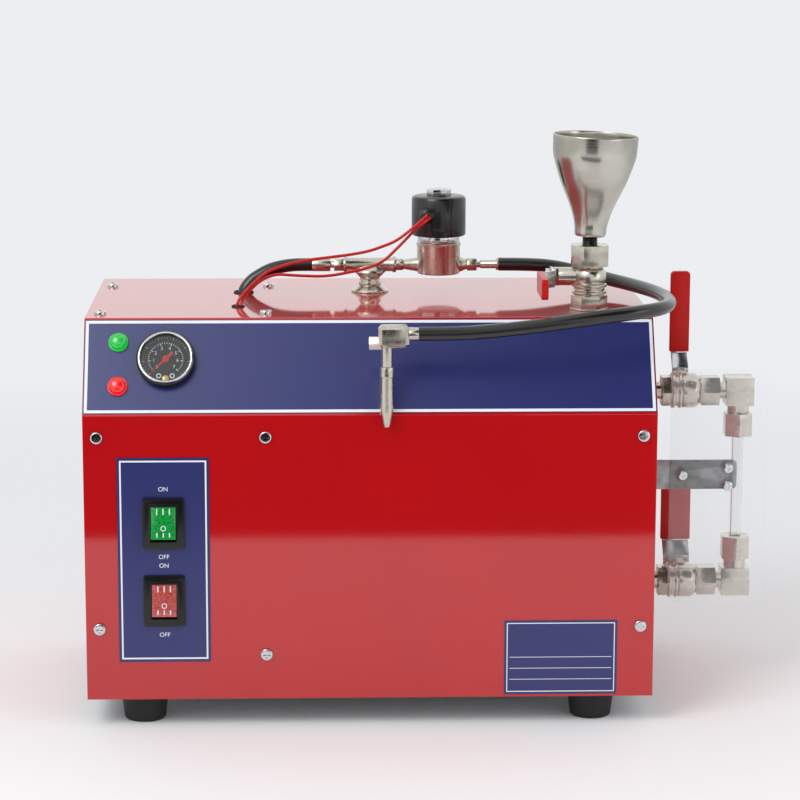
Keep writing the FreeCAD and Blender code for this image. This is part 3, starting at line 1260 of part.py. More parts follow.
def make_solenoid_body():
    """Turned valve body with its inlet and outlet, and the guide tube for the plunger."""
    low, high = SOLENOID_Z
    radius = SOLENOID_RADIUS
    band = high - SOLENOID_BAND_EDGE
    proud = radius + SOLENOID_BAND_PROUD
    body = turned([(0, low), (radius - SOLENOID_EDGE, low), (radius, low + SOLENOID_EDGE),
                   (radius, band - SOLENOID_BAND), (proud, band - SOLENOID_BAND), (proud, band), (radius, high),
                   (GUIDE_RADIUS, high), (GUIDE_RADIUS, GUIDE_TOP), (0, GUIDE_TOP)],
                  Vector(SOLENOID_X, PORT_Y, 0))
    tee_end = TEE_X + TEE_HALF_LENGTH
    inlet_length = SOLENOID_X - radius - tee_end + PORT_SINK
    inlet = turned([(0, 0), (INLET_NUT_RADIUS, 0), (INLET_NUT_RADIUS, INLET_NUT),
                    (PORT_WAIST, INLET_NUT + INLET_NUT_EDGE), (PORT_CONE_RADIUS, inlet_length),
                    (0, inlet_length)],
                   Vector(tee_end, PORT_Y, PORT_Z), AXIS_X)
    outlet = turned([(0, 0), (PORT_CONE_RADIUS, 0), (PORT_CONE_RADIUS, PORT_SINK),
                     (PORT_WAIST, OUTLET_CONE + PORT_SINK), (0, OUTLET_CONE + PORT_SINK)],
                    Vector(SOLENOID_X + radius - PORT_SINK, PORT_Y, PORT_Z), AXIS_X)
    body = body.fuse([inlet, outlet])
    port = Vector(SOLENOID_X, PORT_Y, PORT_Z)
    seat = Vector(SOLENOID_X, PORT_Y, SEAT_Z)
    body = body.cut(rod(seat, AXIS_Z, PLUNGER_BORE, PLUNGER_LENGTH + PLUNGER_STROKE + CORE_LENGTH))
    body = body.cut(rod(port, AXIS_Z, SEAT_BORE, SEAT_RISE))
    body = body.cut(rod(port, AXIS_X, PORT_PASSAGE, radius + OUTLET_CONE))
    riser_x = SOLENOID_X - GALLERY_OFFSET
    side = rod(Vector(tee_end, PORT_Y, PORT_Z), AXIS_X, PORT_PASSAGE, riser_x - tee_end)
    rise = rod(Vector(riser_x, PORT_Y, PORT_Z), AXIS_Z, GALLERY_RISER_RADIUS,
               SEAT_RISE + GALLERY_RISE + GALLERY_RISER_RADIUS)
    gallery = rod(Vector(riser_x, PORT_Y, SEAT_Z + GALLERY_RISE), AXIS_X, GALLERY_RADIUS,
                  GALLERY_OFFSET - PLUNGER_BORE / 2)
    return body.cut(side.fuse([rise, gallery]))


def make_coil():
    """The moulded coil with a rounded top edge and a domed boss for its leads."""
    low, high = COIL_Z
    inner = GUIDE_RADIUS + SLIP
    coil = turned([(inner, low), (COIL_RADIUS - COIL_FOOT_EDGE, low), (COIL_RADIUS, low + COIL_FOOT_EDGE),
                   (COIL_RADIUS, high - COIL_TOP_EDGE), (COIL_RADIUS - COIL_TOP_LIP, high - COIL_TOP_LIP),
                   (COIL_RADIUS - COIL_TOP_EDGE, high), (inner, high)], Vector(SOLENOID_X, PORT_Y, 0))
    boss = turned([(0, 0), (BOSS_RADIUS, 0), (BOSS_RADIUS, BOSS_DEPTH - BOSS_EDGE),
                   (BOSS_RADIUS - BOSS_SHOULDER, BOSS_DEPTH - BOSS_LIP), (BOSS_FACE_RADIUS, BOSS_DEPTH),
                   (0, BOSS_DEPTH)], BOSS_FACE + AXIS_Y * BOSS_DEPTH, AXIS_Y * -1)
    return coil.fuse(boss)


def make_coil_cap():
    """The hexagon nut over the coil and the washer under it, both on the guide tube."""
    nut_seat = Vector(SOLENOID_X, PORT_Y, COIL_Z[1])
    washer_seat = Vector(SOLENOID_X, PORT_Y, SOLENOID_Z[1])
    bore = GUIDE_RADIUS + SLIP
    nut = prism(nut_seat, AXIS_Z, COIL_NUT_FLATS, 6, COIL_NUT_HEIGHT, 30)
    nut = nut.cut(rod(nut_seat, AXIS_Z, bore, COIL_NUT_HEIGHT))
    washer = pipe(washer_seat, AXIS_Z, SOLENOID_RADIUS - COIL_WASHER_INSET, bore, COIL_Z[0] - SOLENOID_Z[1])
    return Part.makeCompound([nut, washer])


def make_plunger():
    """The iron plunger, with a seal at its foot and a pocket for its spring."""
    foot = Vector(SOLENOID_X, PORT_Y, SEAT_Z + SLIP)
    plunger = rod(foot, AXIS_Z, PLUNGER_RADIUS, PLUNGER_LENGTH)
    pocket = foot + AXIS_Z * (PLUNGER_LENGTH - PLUNGER_POCKET_DEPTH)
    return plunger.cut(rod(pocket, AXIS_Z, PLUNGER_POCKET_RADIUS, PLUNGER_POCKET_DEPTH))


def make_spring():
    """The plunger's return spring, from the plunger's pocket up to the core."""
    low = SEAT_Z + PLUNGER_LENGTH - PLUNGER_POCKET_DEPTH + 2 * SLIP
    high = SEAT_Z + PLUNGER_LENGTH + PLUNGER_STROKE + CORE_LENGTH - SLIP
    rise = high - low - SPRING_WIRE - 4 * SLIP
    helix = Part.makeHelix(rise / SPRING_TURNS, rise, SPRING_RADIUS)
    near = SPRING_RADIUS - SPRING_WIRE / 2
    far = SPRING_RADIUS + SPRING_WIRE / 2
    corners = [Vector(near, 0, 0), Vector(far, 0, 0), Vector(far, 0, SPRING_WIRE), Vector(near, 0, SPRING_WIRE)]
    coil = helix.makePipeShell([Part.makePolygon(corners + corners[:1])], True, True)
    coil.translate(Vector(SOLENOID_X, PORT_Y, low))
    return coil


def lead_points(side, offsets):
    """A lead's route: out of the boss on one side of its middle, then through the top."""
    start = BOSS_FACE + Vector(side * LEAD_SPREAD, 0, -side * LEAD_SLANT)
    return [start, start - AXIS_Y * LEAD_STUB] + off_bulkhead(offsets)


def make_leads():
    return Part.makeCompound([flexible("upper_lead", lead_points(-1, UPPER_LEAD), LEAD_RADIUS),
                              flexible("lower_lead", lead_points(1, LOWER_LEAD), LEAD_RADIUS)])


# -------------------------------------------------------------- ball valves
class ValveSizes:
    """Sizes of one ball valve: pipe along local x, stem along local z."""

    def __init__(self, inlet, outlet, body, ball, lever, sockets):
        self.inlet_reach, self.inlet_hex, self.inlet_flats = inlet
        self.outlet_reach, self.outlet_hex, self.outlet_flats, self.outlet_sides = outlet
        self.body, self.ring_start = body
        self.ball, self.bore, self.stem = ball
        self.plate, self.rise, self.lever = lever
        self.inlet_socket, self.outlet_socket = sockets


GAUGE_VALVE = ValveSizes(inlet=(VALVE_INLET_REACH, VALVE_INLET_HEX, VALVE_INLET_FLATS),
                         outlet=(VALVE_OUTLET_REACH, VALVE_OUTLET_HEX, VALVE_OUTLET_FLATS, 6),
                         body=(VALVE_BODY_RADIUS, VALVE_RING_START),
                         ball=(VALVE_BALL_RADIUS, VALVE_BORE, VALVE_STEM_RADIUS),
                         lever=(VALVE_PLATE, VALVE_LEVER_RISE, LEVER_LENGTH),
                         sockets=(PIPE_RADIUS, PIPE_RADIUS))
FILL_VALVE = ValveSizes(inlet=(FILL_INLET_REACH, FILL_INLET_HEX, FILL_INLET_FLATS),
                        outlet=(FILL_OUTLET_REACH, FILL_OUTLET_HEX, FILL_OUTLET_FLATS, 8),
                        body=(FILL_BODY_RADIUS, FILL_RING_START),
                        ball=(FILL_BALL_RADIUS, FILL_BORE, FILL_STEM_RADIUS),
                        lever=(FILL_PLATE, FILL_LEVER_RISE, FILL_LEVER_LENGTH),
                        sockets=(FILL_PIPE_RADIUS, FUNNEL_STEM_RADIUS))


def valve_barrel(v, start, end):
    """The round body between the flats: two rings, then a shoulder."""
    groove = v.body - GROOVE_DEPTH
    ring = v.body + RING_PROUD
    profile = [(0, start), (groove, start)]
    for step in (0, 1):
        low = start + v.ring_start + step * RING_PITCH
        high = low + RING_WIDTH + 2 * RING_SLOPE
        profile += [(groove, low), (ring, low + RING_SLOPE), (ring, high - RING_SLOPE), (groove, high)]
    profile += [(v.body, high + RING_SLOPE), (v.body, end - SHOULDER_START),
                (v.body - SHOULDER_DROP, end - SHOULDER_MIDDLE), (v.body - SHOULDER_DEPTH, end - SHOULDER_END),
                (v.body - SHOULDER_DEPTH, end), (0, end)]
    return turned(profile, axis=AXIS_X)


def valve_body(v):
    """Cast body with an inlet hexagon, ringed barrel, outlet flats and stem boss."""
    inlet_start = Vector(-v.inlet_reach, 0, 0)
    outlet_start = Vector(v.outlet_reach - v.outlet_hex, 0, 0)
    barrel = valve_barrel(v, v.inlet_hex - v.inlet_reach, outlet_start.x)
    inlet = prism(inlet_start, AXIS_X, v.inlet_flats, 6, v.inlet_hex, 30)
    outlet_turn = 30 if v.outlet_sides == 6 else 0
    outlet = prism(outlet_start, AXIS_X, v.outlet_flats, v.outlet_sides, v.outlet_hex, outlet_turn)
    centre = Vector(0, 0, 0)
    boss = rod(centre, AXIS_Z, v.stem + VALVE_BOSS_WALL, v.plate - PACKING - PACKING_GAP)
    body = barrel.fuse([inlet, outlet, boss])
    cavity = v.ball + BALL_GAP
    body = body.cut(rod(inlet_start, AXIS_X, v.bore, v.inlet_reach + v.outlet_reach))
    body = body.cut(rod(Vector(-cavity, 0, 0), AXIS_X, cavity, 2 * cavity))
    body = body.cut(rod(centre, AXIS_Z, v.stem + SLIP, v.plate))
    body = body.cut(rod(inlet_start, AXIS_X, v.inlet_socket + SLIP, SOCKET_DEPTH))
    outlet_floor = Vector(v.outlet_reach - SOCKET_DEPTH, 0, 0)
    return body.cut(rod(outlet_floor, AXIS_X, v.outlet_socket + SLIP, SOCKET_DEPTH))


def packing_nut(v):
    base = Vector(0, 0, v.plate - PACKING - PACKING_GAP)
    nut = prism(base, AXIS_Z, 2 * (v.stem + PACKING_WALL), 6, PACKING)
    return nut.cut(rod(base, AXIS_Z, v.stem + SLIP, PACKING))


def valve_ball(v):
    """Bored ball and stem in one; closed, so the bore lies across the pipe."""
    root = v.ball / 2
    top = v.plate + LEVER_STRIP + LEVER_NUT + STEM_END
    ball = Part.makeSphere(v.ball)
    ball = ball.fuse(rod(Vector(0, 0, root), AXIS_Z, v.stem, top - root))
    return ball.cut(rod(Vector(0, -v.ball, 0), AXIS_Y, v.bore, 2 * v.ball))


def valve_lever(v, width):
    """Cranked steel strip, its lock nut, and the moulded grip over its end."""
    low = v.plate
    high = v.plate + v.rise
    strip = LEVER_STRIP
    bend = -LEVER_CRANK
    upper_bend = bend - v.rise
    crank = math.tan(math.radians(22.5)) * strip
    outline = [(LEVER_TAIL, low), (bend, low), (upper_bend, high), (-v.lever, high), (-v.lever, high + strip),
               (upper_bend + crank, high + strip), (bend + crank, low + strip), (LEVER_TAIL, low + strip)]
    inner_width = width - 2 * GRIP_WALL
    metal = side_profile(-inner_width / 2, outline, inner_width)
    metal = metal.cut(rod(Vector(0, 0, low), AXIS_Z, v.stem + SLIP, strip))
    grip = block(-width / 2, width / 2, -v.lever - GRIP_END, upper_bend - GRIP_START,
                 high - GRIP_WALL, high + strip + GRIP_WALL)
    upright = [e for e in grip.Edges if abs(e.tangentAt(e.FirstParameter).z) > 0.99]
    corners = [e for e in upright if e.CenterOfMass.y < -v.lever]
    grip = grip.makeFillet(GRIP_CORNER, corners).cut(metal)
    nut_seat = Vector(0, 0, low + strip)
    nut = prism(nut_seat, AXIS_Z, 2 * (v.stem + LEVER_NUT_WALL), 6, LEVER_NUT)
    nut = nut.cut(rod(nut_seat, AXIS_Z, v.stem + SLIP, LEVER_NUT))
    return Part.makeCompound([metal, grip, nut])


GAUGE_TURN = Rotation(AXIS_X, AXIS_Z * -1, AXIS_Y, "XYZ")
FILL_TURN = Rotation(AXIS_Z, AXIS_Y, AXIS_X * -1, "XYZ")
FILL_PLACE = Placement(Vector(FILL_X, FILL_Y, FILL_VALVE_Z), FILL_TURN)
LEVEL_PLACES = [Placement(Vector(VALVE_X, LEVEL_Y, z), GAUGE_TURN) for z in LEVEL_Z]


def placed(shape, placement):
    moved = shape.copy()
    moved.Placement = placement.multiply(moved.Placement)
    return moved


def make_fill_valve_body():
    body = placed(valve_body(FILL_VALVE), FILL_PLACE)
    return Part.makeCompound([body, placed(packing_nut(FILL_VALVE), FILL_PLACE)])


def make_gauge_valve_bodies():
    solids = []
    for place in LEVEL_PLACES:
        solids.append(placed(valve_body(GAUGE_VALVE), place))
        solids.append(placed(packing_nut(GAUGE_VALVE), place))
    return Part.makeCompound(solids)


# ------------------------------------------------------------------- funnel
def funnel_bowl(shrink, low, high):
    """The bowl's form, or its hollow, from its neck to its mouth."""
    neck = FUNNEL_NECK_RADIUS - shrink
    spread = FUNNEL_MOUTH_RADIUS - FUNNEL_NECK_RADIUS
    profile = [(0, low), (neck, low), (neck, FUNNEL_NECK)]
    for up, out in FUNNEL_CURVE:
        profile.append((neck + out * spread, FUNNEL_NECK + up * (FUNNEL_HEIGHT - FUNNEL_NECK)))
    return turned(profile + [(neck + spread, high), (0, high)])


def make_funnel():
    """A spun steel bowl on a threaded stem, leaning a little in the valve."""
    bowl = funnel_bowl(0.0, 0.0, FUNNEL_HEIGHT)
    bowl = bowl.cut(funnel_bowl(FUNNEL_WALL, FUNNEL_WALL, FUNNEL_HEIGHT + FUNNEL_WALL))
    bowl.rotate(Vector(0, 0, 0), AXIS_Y, FUNNEL_LEAN)
    seat = FILL_VALVE_Z + FILL_OUTLET_REACH - SPIGOT_DEPTH - FUNNEL_Z
    foot = Vector(0, 0, seat)
    funnel = bowl.fuse(rod(foot, AXIS_Z, FUNNEL_STEM_RADIUS, FUNNEL_STEM_TOP - seat))
    funnel = funnel.cut(rod(foot, AXIS_Z, FUNNEL_STEM_BORE, FUNNEL_NECK - seat))
    funnel.translate(Vector(FILL_X, FILL_Y, FUNNEL_Z))
    return funnel


# -------------------------------------------------------- water level gauge
def gauge_block(z, towards):
    """A square elbow: a spigot into the valve and a threaded one for the glass."""
    half = BLOCK_SIZE / 2
    body = block(BLOCK_X - half, BLOCK_X + half, LEVEL_Y - BLOCK_DEPTH / 2, LEVEL_Y + BLOCK_DEPTH / 2,
                 z - half, z + half)
    spigot = Vector(VALVE_X + GAUGE_VALVE.outlet_reach - SPIGOT_DEPTH, LEVEL_Y, z)
    body = body.fuse(rod(spigot, AXIS_X, PIPE_RADIUS, BLOCK_X - half - spigot.x))
    start = Vector(BLOCK_X, LEVEL_Y, z + towards * half)
    way = AXIS_Z * towards
    threaded = GLAND_GAP + GLAND_THREAD
    body = body.fuse(rod(start, way, GLAND_THREAD_RADIUS, threaded))
    body = body.cut(rod(spigot, AXIS_X, PIPE_BORE, BLOCK_X - spigot.x))
    body = body.cut(rod(Vector(BLOCK_X, LEVEL_Y, z), way, GLASS_RADIUS - GLASS_WALL, half + threaded))
    return body.cut(rod(start + way * (threaded - GLASS_SEAT), way, GLASS_RADIUS + SLIP, GLASS_SEAT))


def gland_nut(z, towards):
    """The hexagon nut that squeezes the seal round the glass."""
    start = Vector(BLOCK_X, LEVEL_Y, z + towards * (BLOCK_SIZE / 2 + GLAND_GAP))
    way = AXIS_Z * towards
    nut = prism(start, way, GLAND_FLATS, 6, GLAND_HEIGHT)
    nut = nut.cut(rod(start, way, GLAND_THREAD_RADIUS + SLIP, GLAND_THREAD))
    return nut.cut(rod(start, way, GLASS_RADIUS + SLIP, GLAND_HEIGHT))


def make_gauge_blocks():
    return Part.makeCompound([gauge_block(LEVEL_Z[0], 1), gauge_block(LEVEL_Z[1], -1)])


def make_gland_nuts():
    return Part.makeCompound([gland_nut(LEVEL_Z[0], 1), gland_nut(LEVEL_Z[1], -1)])


def make_glass():
    inset_by = BLOCK_SIZE / 2 + GLAND_GAP + GLAND_THREAD - GLASS_SEAT
    low = LEVEL_Z[0] + inset_by
    high = LEVEL_Z[1] - inset_by
    return pipe(Vector(BLOCK_X, LEVEL_Y, low), AXIS_Z, GLASS_RADIUS, GLASS_RADIUS - GLASS_WALL, high - low)


def guard_holes():
    radius = SCREW_RADIUS + SLIP
    through = GUARD_THICKNESS + BRACKET_THICKNESS
    return Part.makeCompound([rod(Vector(x, GUARD_Y, z), AXIS_Y, radius, through) for x, z in GUARD_SCREWS])


def make_bracket():
    """A bent strip from the right side to the guard."""
    y0 = GUARD_Y + GUARD_THICKNESS
    y1 = y0 + BRACKET_THICKNESS
    near = WIDTH + BRACKET_THICKNESS
    arm = rounded_plate(near, WIDTH + BRACKET_LENGTH, *BRACKET_Z, y0, y1, BRACKET_CORNER)
    root = block(WIDTH, near + BRACKET_CORNER, y0, y1, *BRACKET_Z)
    foot = block(WIDTH, WIDTH + BRACKET_THICKNESS, y0, y0 + BRACKET_FOOT, *BRACKET_Z)
    bracket = arm.fuse([root, foot]).cut(guard_holes())
    for z, i in zip(BRACKET_Z, (1, -1)):
        bracket = bracket.cut(rod(bracket_screw(z, i), AXIS_X * -1, SCREW_RADIUS + SLIP, BRACKET_THICKNESS))
    return bracket


def make_guard():
    guard = rounded_plate(*GUARD_X, *GUARD_Z, GUARD_Y, GUARD_Y + GUARD_THICKNESS, GUARD_CORNER)
    return guard.cut(guard_holes())


# ------------------------------------------------------------ rear fittings
def make_mains_gland():
    """An empty cable gland: flange, dome nut and lock nut on one threaded body."""
    outer = GLAND_BORE + GLAND_WALL
    dome = outer + GLAND_DOME_WALL
    inside = -SHEET
    profile = [(GLAND_BORE, inside - GLAND_TAIL), (outer, inside - GLAND_TAIL), (outer, inside - GLAND_NUT),
               (outer + GLAND_NUT_WALL, inside - GLAND_NUT), (outer + GLAND_NUT_WALL, inside), (outer, inside),
               (outer, 0), (outer + GLAND_COLLAR, 0), (outer + GLAND_COLLAR, GLAND_FLANGE),
               (outer + GLAND_NECK_WALL, GLAND_NECK), (dome, GLAND_DOME_START), (dome, GLAND_DOME),
               (GLAND_BORE + GLAND_MOUTH_WALL, GLAND_REACH), (GLAND_BORE, GLAND_REACH)]
    return turned(profile, Vector(GLAND_X, DEPTH, GLAND_Z), AXIS_Y)


def make_pedal_socket():
    """A round two-pin socket for the foot pedal's lead."""
    place = Vector(GLAND_X, DEPTH, SOCKET_Z)
    mouth = SOCKET_RADIUS - SOCKET_WALL
    shell = turned([(0, -SOCKET_TAIL), (SOCKET_RADIUS, -SOCKET_TAIL), (SOCKET_RADIUS, 0),
                    (SOCKET_COLLAR_RADIUS, 0), (SOCKET_COLLAR_RADIUS, SOCKET_COLLAR),
                    (SOCKET_RADIUS, SOCKET_COLLAR), (SOCKET_RADIUS, SOCKET_REACH),
                    (mouth, SOCKET_REACH), (mouth, -SOCKET_FLOOR), (0, -SOCKET_FLOOR)], place, AXIS_Y)
    pins = []
    for side in (-1, 1):
        foot = place + Vector(side * SOCKET_PIN_SPREAD, -SOCKET_FLOOR, 0)
        pins.append(rod(foot, AXIS_Y, SOCKET_PIN_RADIUS, SOCKET_PIN_LENGTH))
    return shell.fuse(pins)


def make_drain_plug():
    """A hexagon cap on the end of the drain pipe, and its lock nut."""
    start = Vector(DRAIN_X, DEPTH, DRAIN_Z)
    cap_start = start + AXIS_Y * PLUG_LOCK
    bore = PIPE_RADIUS + SLIP
    lock = prism(start, AXIS_Y, PLUG_LOCK_FLATS, 6, PLUG_LOCK).cut(rod(start, AXIS_Y, bore, PLUG_LOCK))
    cap = prism(cap_start, AXIS_Y, PLUG_FLATS, 6, PLUG_HEX)
    cap = cap.fuse(rod(cap_start + AXIS_Y * PLUG_HEX, AXIS_Y, PLUG_CROWN_RADIUS, PLUG_CROWN))
    return Part.makeCompound([lock, cap.cut(rod(start, AXIS_Y, bore, DRAIN_REACH + HOLE_GAP))])


# --------------------------------------------------------------- steam hose
def hose_points():
    """The hose's route, from the valve round the right side to the nozzle's elbow."""
    leaves = [HOSE_START + Vector(*offset) for offset in HOSE_LEAVES]
    last = Vector(HOSE_END_X, NOZZLE_Y, HOSE_END_Z)
    return [HOSE_START] + leaves + off_bulkhead(HOSE_ROUTE) + [last + AXIS_X * HOSE_ARRIVES, last]


def make_hose():
    return flexible("steam_hose", hose_points(), HOSE_RADIUS)


def make_nozzle_elbow():
    """A square elbow with a plugged nose; its spigot points down."""
    left = NOZZLE_X - ELBOW_NEAR
    right = HOSE_END_X - NOZZLE_FERRULE
    low = HOSE_END_Z - ELBOW_BELOW
    body = block(left, right, NOZZLE_Y - ELBOW_HALF_WIDTH, NOZZLE_Y + ELBOW_HALF_WIDTH,
                 low, HOSE_END_Z + ELBOW_ABOVE)
    body = body.makeChamfer(ELBOW_EDGE, body.Edges)
    nose_start = Vector(left - NOSE_LENGTH, NOZZLE_Y, HOSE_END_Z - NOSE_DROP)
    nose = prism(nose_start, AXIS_X, NOSE_FLATS, 6, NOSE_LENGTH + ELBOW_EDGE)
    foot = Vector(NOZZLE_X, NOZZLE_Y, NOZZLE_TIP_Z + NOZZLE_LENGTH)
    body = body.fuse([nose, rod(foot, AXIS_Z, ELBOW_SPIGOT_RADIUS, low + ELBOW_EDGE - foot.z)])
    way_in = rod(Vector(NOZZLE_X, NOZZLE_Y, HOSE_END_Z), AXIS_X, ELBOW_BORE, right - NOZZLE_X)
    way_down = rod(foot, AXIS_Z, ELBOW_BORE, HOSE_END_Z - foot.z)
    return body.cut(way_in).cut(way_down)


def make_nozzle_ferrule():
    start = Vector(HOSE_END_X - NOZZLE_FERRULE, NOZZLE_Y, HOSE_END_Z)
    return rod(start, AXIS_X, NOZZLE_FERRULE_RADIUS, NOZZLE_FERRULE)


def make_nozzle():
    """Collar, barrel and cone tip, bored through."""
    barrel = NOZZLE_CONE + NOZZLE_BARREL
    profile = [(NOZZLE_BORE, 0), (NOZZLE_TIP_RADIUS, 0), (NOZZLE_RADIUS, NOZZLE_CONE), (NOZZLE_RADIUS, barrel),
               (NOZZLE_COLLAR_RADIUS, barrel + NOZZLE_COLLAR_EDGE), (NOZZLE_COLLAR_RADIUS, NOZZLE_LENGTH),
               (NOZZLE_BORE, NOZZLE_LENGTH)]
    return turned(profile, Vector(NOZZLE_X, NOZZLE_Y, NOZZLE_TIP_Z))


# -------------------------------------------------------------------- export
NODES = {
    "base_tray": make_tray,
    "cover": make_cover,
    "left_side_panel": make_left_side,
    "right_side_panel": make_right_side,
    "rear_panel": make_rear,
    "bulkhead": make_bulkhead,
    "control_overlay": make_overlay,
    "switch_plate": make_switch_plate,
    "rating_plate": make_rating_plate,
    "rubber_feet": make_feet,
    "panel_screws": make_screws,
    "boiler_tank": make_tank,
    "boiler_supports": make_supports,
    "boiler_risers": make_risers,
    "heating_element": make_heater,
    "safety_valve": make_safety_valve,
    "pressure_switch": make_pressure_switch,
    "power_relay": make_relay,
    "mains_gland": make_mains_gland,
    "pedal_socket": make_pedal_socket,
    "drain_plug": make_drain_plug,
    "steam_tee": make_tee,
    "hose_tails": make_hose_tails,
    "pressure_line": make_pressure_line,
    "top_grommets": make_grommets,
    "top_lock_nuts": make_lock_nuts,
    "solenoid_body": make_solenoid_body,
    "solenoid_coil": make_coil,
    "coil_nut": make_coil_cap,
    "solenoid_plunger": make_plunger,
    "plunger_spring": make_spring,
    "coil_leads": make_leads,
    "gauge_case": make_gauge_case,
    "gauge_bezel": make_gauge_bezel,
    "gauge_dial": make_gauge_dial,
    "gauge_pointer": make_gauge_pointer,
    "gauge_lens": make_gauge_lens,
    "green_lamp": lambda: lamp(GREEN_LAMP_UP),
    "red_lamp": lambda: lamp(RED_LAMP_UP),
    "switch_bodies": make_switch_bodies,
    "green_rocker": lambda: rocker(GREEN_SWITCH_Z),
    "red_rocker": lambda: rocker(RED_SWITCH_Z),
    "funnel": make_funnel,
    "fill_valve_body": make_fill_valve_body,
    "fill_valve_ball": lambda: placed(valve_ball(FILL_VALVE), FILL_PLACE),
    "fill_lever": lambda: placed(valve_lever(FILL_VALVE, LEVER_WIDTH), FILL_PLACE),
    "gauge_valve_bodies": make_gauge_valve_bodies,
    "upper_valve_ball": lambda: placed(valve_ball(GAUGE_VALVE), LEVEL_PLACES[1]),
    "upper_lever": lambda: placed(valve_lever(GAUGE_VALVE, LEVER_WIDTH), LEVEL_PLACES[1]),
    "lower_valve_ball": lambda: placed(valve_ball(GAUGE_VALVE), LEVEL_PLACES[0]),
    "lower_lever": lambda: placed(valve_lever(GAUGE_VALVE, LOWER_LEVER_WIDTH), LEVEL_PLACES[0]),
    "gauge_blocks": make_gauge_blocks,
    "gauge_gland_nuts": make_gland_nuts,
    "gauge_glass": make_glass,
    "guard_bracket": make_bracket,
    "gauge_guard": make_guard,
    "steam_hose": make_hose,
    "nozzle_ferrule": make_nozzle_ferrule,
    "nozzle_elbow": make_nozzle_elbow,
    "steam_nozzle": make_nozzle,
}


def main():
    os.makedirs("parts", exist_ok=True)
    for name, make in NODES.items():
        shape = make()
        shape.translate(TO_ROW)
        shape.exportStep("parts/" + name + ".step")


main()
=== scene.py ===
# %% [markdown]
# # A jewelry steam cleaner
# A jeweller's steam cleaner is a small boiler in a painted steel cabinet. Its controls sit on a
# sloping panel, its pipework stands on the lid, and a water gauge hangs on its right side.
# The engineering model is loaded first. It gives every part its true size and place, in metres,
# and this lesson gives the parts their surfaces, their rounded edges and their print.

# %% Load the engineering model
import math

import bpy
from mathutils import Matrix, Vector


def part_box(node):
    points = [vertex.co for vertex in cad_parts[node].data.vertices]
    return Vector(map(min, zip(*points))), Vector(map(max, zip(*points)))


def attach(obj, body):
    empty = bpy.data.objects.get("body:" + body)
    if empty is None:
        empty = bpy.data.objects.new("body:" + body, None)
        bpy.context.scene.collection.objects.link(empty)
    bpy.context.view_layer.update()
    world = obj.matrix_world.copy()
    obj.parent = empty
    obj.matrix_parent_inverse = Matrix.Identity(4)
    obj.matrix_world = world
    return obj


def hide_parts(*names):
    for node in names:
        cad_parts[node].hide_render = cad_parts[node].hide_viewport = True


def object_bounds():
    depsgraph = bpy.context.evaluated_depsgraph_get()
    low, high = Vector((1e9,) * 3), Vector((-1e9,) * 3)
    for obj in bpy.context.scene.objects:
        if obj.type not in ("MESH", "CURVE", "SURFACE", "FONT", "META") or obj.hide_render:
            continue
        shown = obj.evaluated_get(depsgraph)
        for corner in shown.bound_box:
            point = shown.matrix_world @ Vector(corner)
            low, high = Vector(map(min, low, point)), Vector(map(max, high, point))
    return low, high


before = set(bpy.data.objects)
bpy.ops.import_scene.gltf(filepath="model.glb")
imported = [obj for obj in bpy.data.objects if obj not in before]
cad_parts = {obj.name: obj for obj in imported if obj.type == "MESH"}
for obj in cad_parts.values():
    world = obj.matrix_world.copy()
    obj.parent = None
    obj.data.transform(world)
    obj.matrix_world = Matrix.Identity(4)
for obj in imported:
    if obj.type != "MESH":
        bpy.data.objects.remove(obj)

cad_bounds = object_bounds()
print("CAD box", [tuple(round(c, 3) for c in corner) for corner in cad_bounds])

# %% [markdown]
# ## Measuring in the cabinet's own millimetres
# A maker measures a cabinet from its left side, its front and its base. The cover's box gives that
# corner, so one function turns such a measure into a place in the scene.

# %% Places on the cabinet
MM = 0.001
CABINET_LOW, CABINET_HIGH = (Vector(corner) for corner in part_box("cover"))
FRONT_HEIGHT = 214.0
PANEL_SETBACK = 39.0
PANEL_TILT = math.atan2(280.0 - FRONT_HEIGHT, PANEL_SETBACK)
UPRIGHT = math.pi / 2


def at(x, y, z):
    """A place in cabinet millimetres: from the left side, behind the front, above the base."""
    return CABINET_LOW + Vector((x, y, z)) * MM


def on_panel(x, up, proud=0.0):
    """A place on the sloping panel: from the left, up the slope, and out of the surface."""
    y = up * math.cos(PANEL_TILT) - proud * math.sin(PANEL_TILT)
    z = FRONT_HEIGHT + up * math.sin(PANEL_TILT) + proud * math.cos(PANEL_TILT)
    return at(x, y, z)


print("cabinet, mm", [round(c / MM) for c in CABINET_HIGH - CABINET_LOW])

# %% [markdown]
# ## Working with one piece at a time
# An operator changes whatever is selected. Each helper here selects one piece first. A finished
# piece has its place written into its mesh, so its object stays at the origin.

# %% Selecting, settling and dressing a piece


def only(piece):
    """Select one piece and nothing else."""
    if bpy.context.mode != "OBJECT":
        bpy.ops.object.mode_set(mode="OBJECT")
    bpy.ops.object.select_all(action="DESELECT")
    piece.select_set(True)
    bpy.context.view_layer.objects.active = piece
    return piece


def settle(piece, place=(0, 0, 0), turn=(0, 0, 0)):
    """Put a piece in its place and write that place into its mesh."""
    piece.location = place
    piece.rotation_euler = turn
    only(piece)
    bpy.ops.object.transform_apply(location=True, rotation=True, scale=True)
    return piece


def apply_modifiers(piece):
    only(piece)
    for modifier in list(piece.modifiers):
        bpy.ops.object.modifier_apply(modifier=modifier.name)
    return piece


def soften(piece, width, segments=2, angle=40):
    """Break a piece's sharp edges by a width in millimetres, and shade its round faces smooth."""
    bevel = piece.modifiers.new("edge", "BEVEL")
    bevel.width = width * MM
    bevel.segments = segments
    bevel.limit_method = "ANGLE"
    bevel.angle_limit = math.radians(angle)
    apply_modifiers(piece)
    bpy.ops.object.shade_smooth_by_angle(angle=math.radians(35))
    return piece


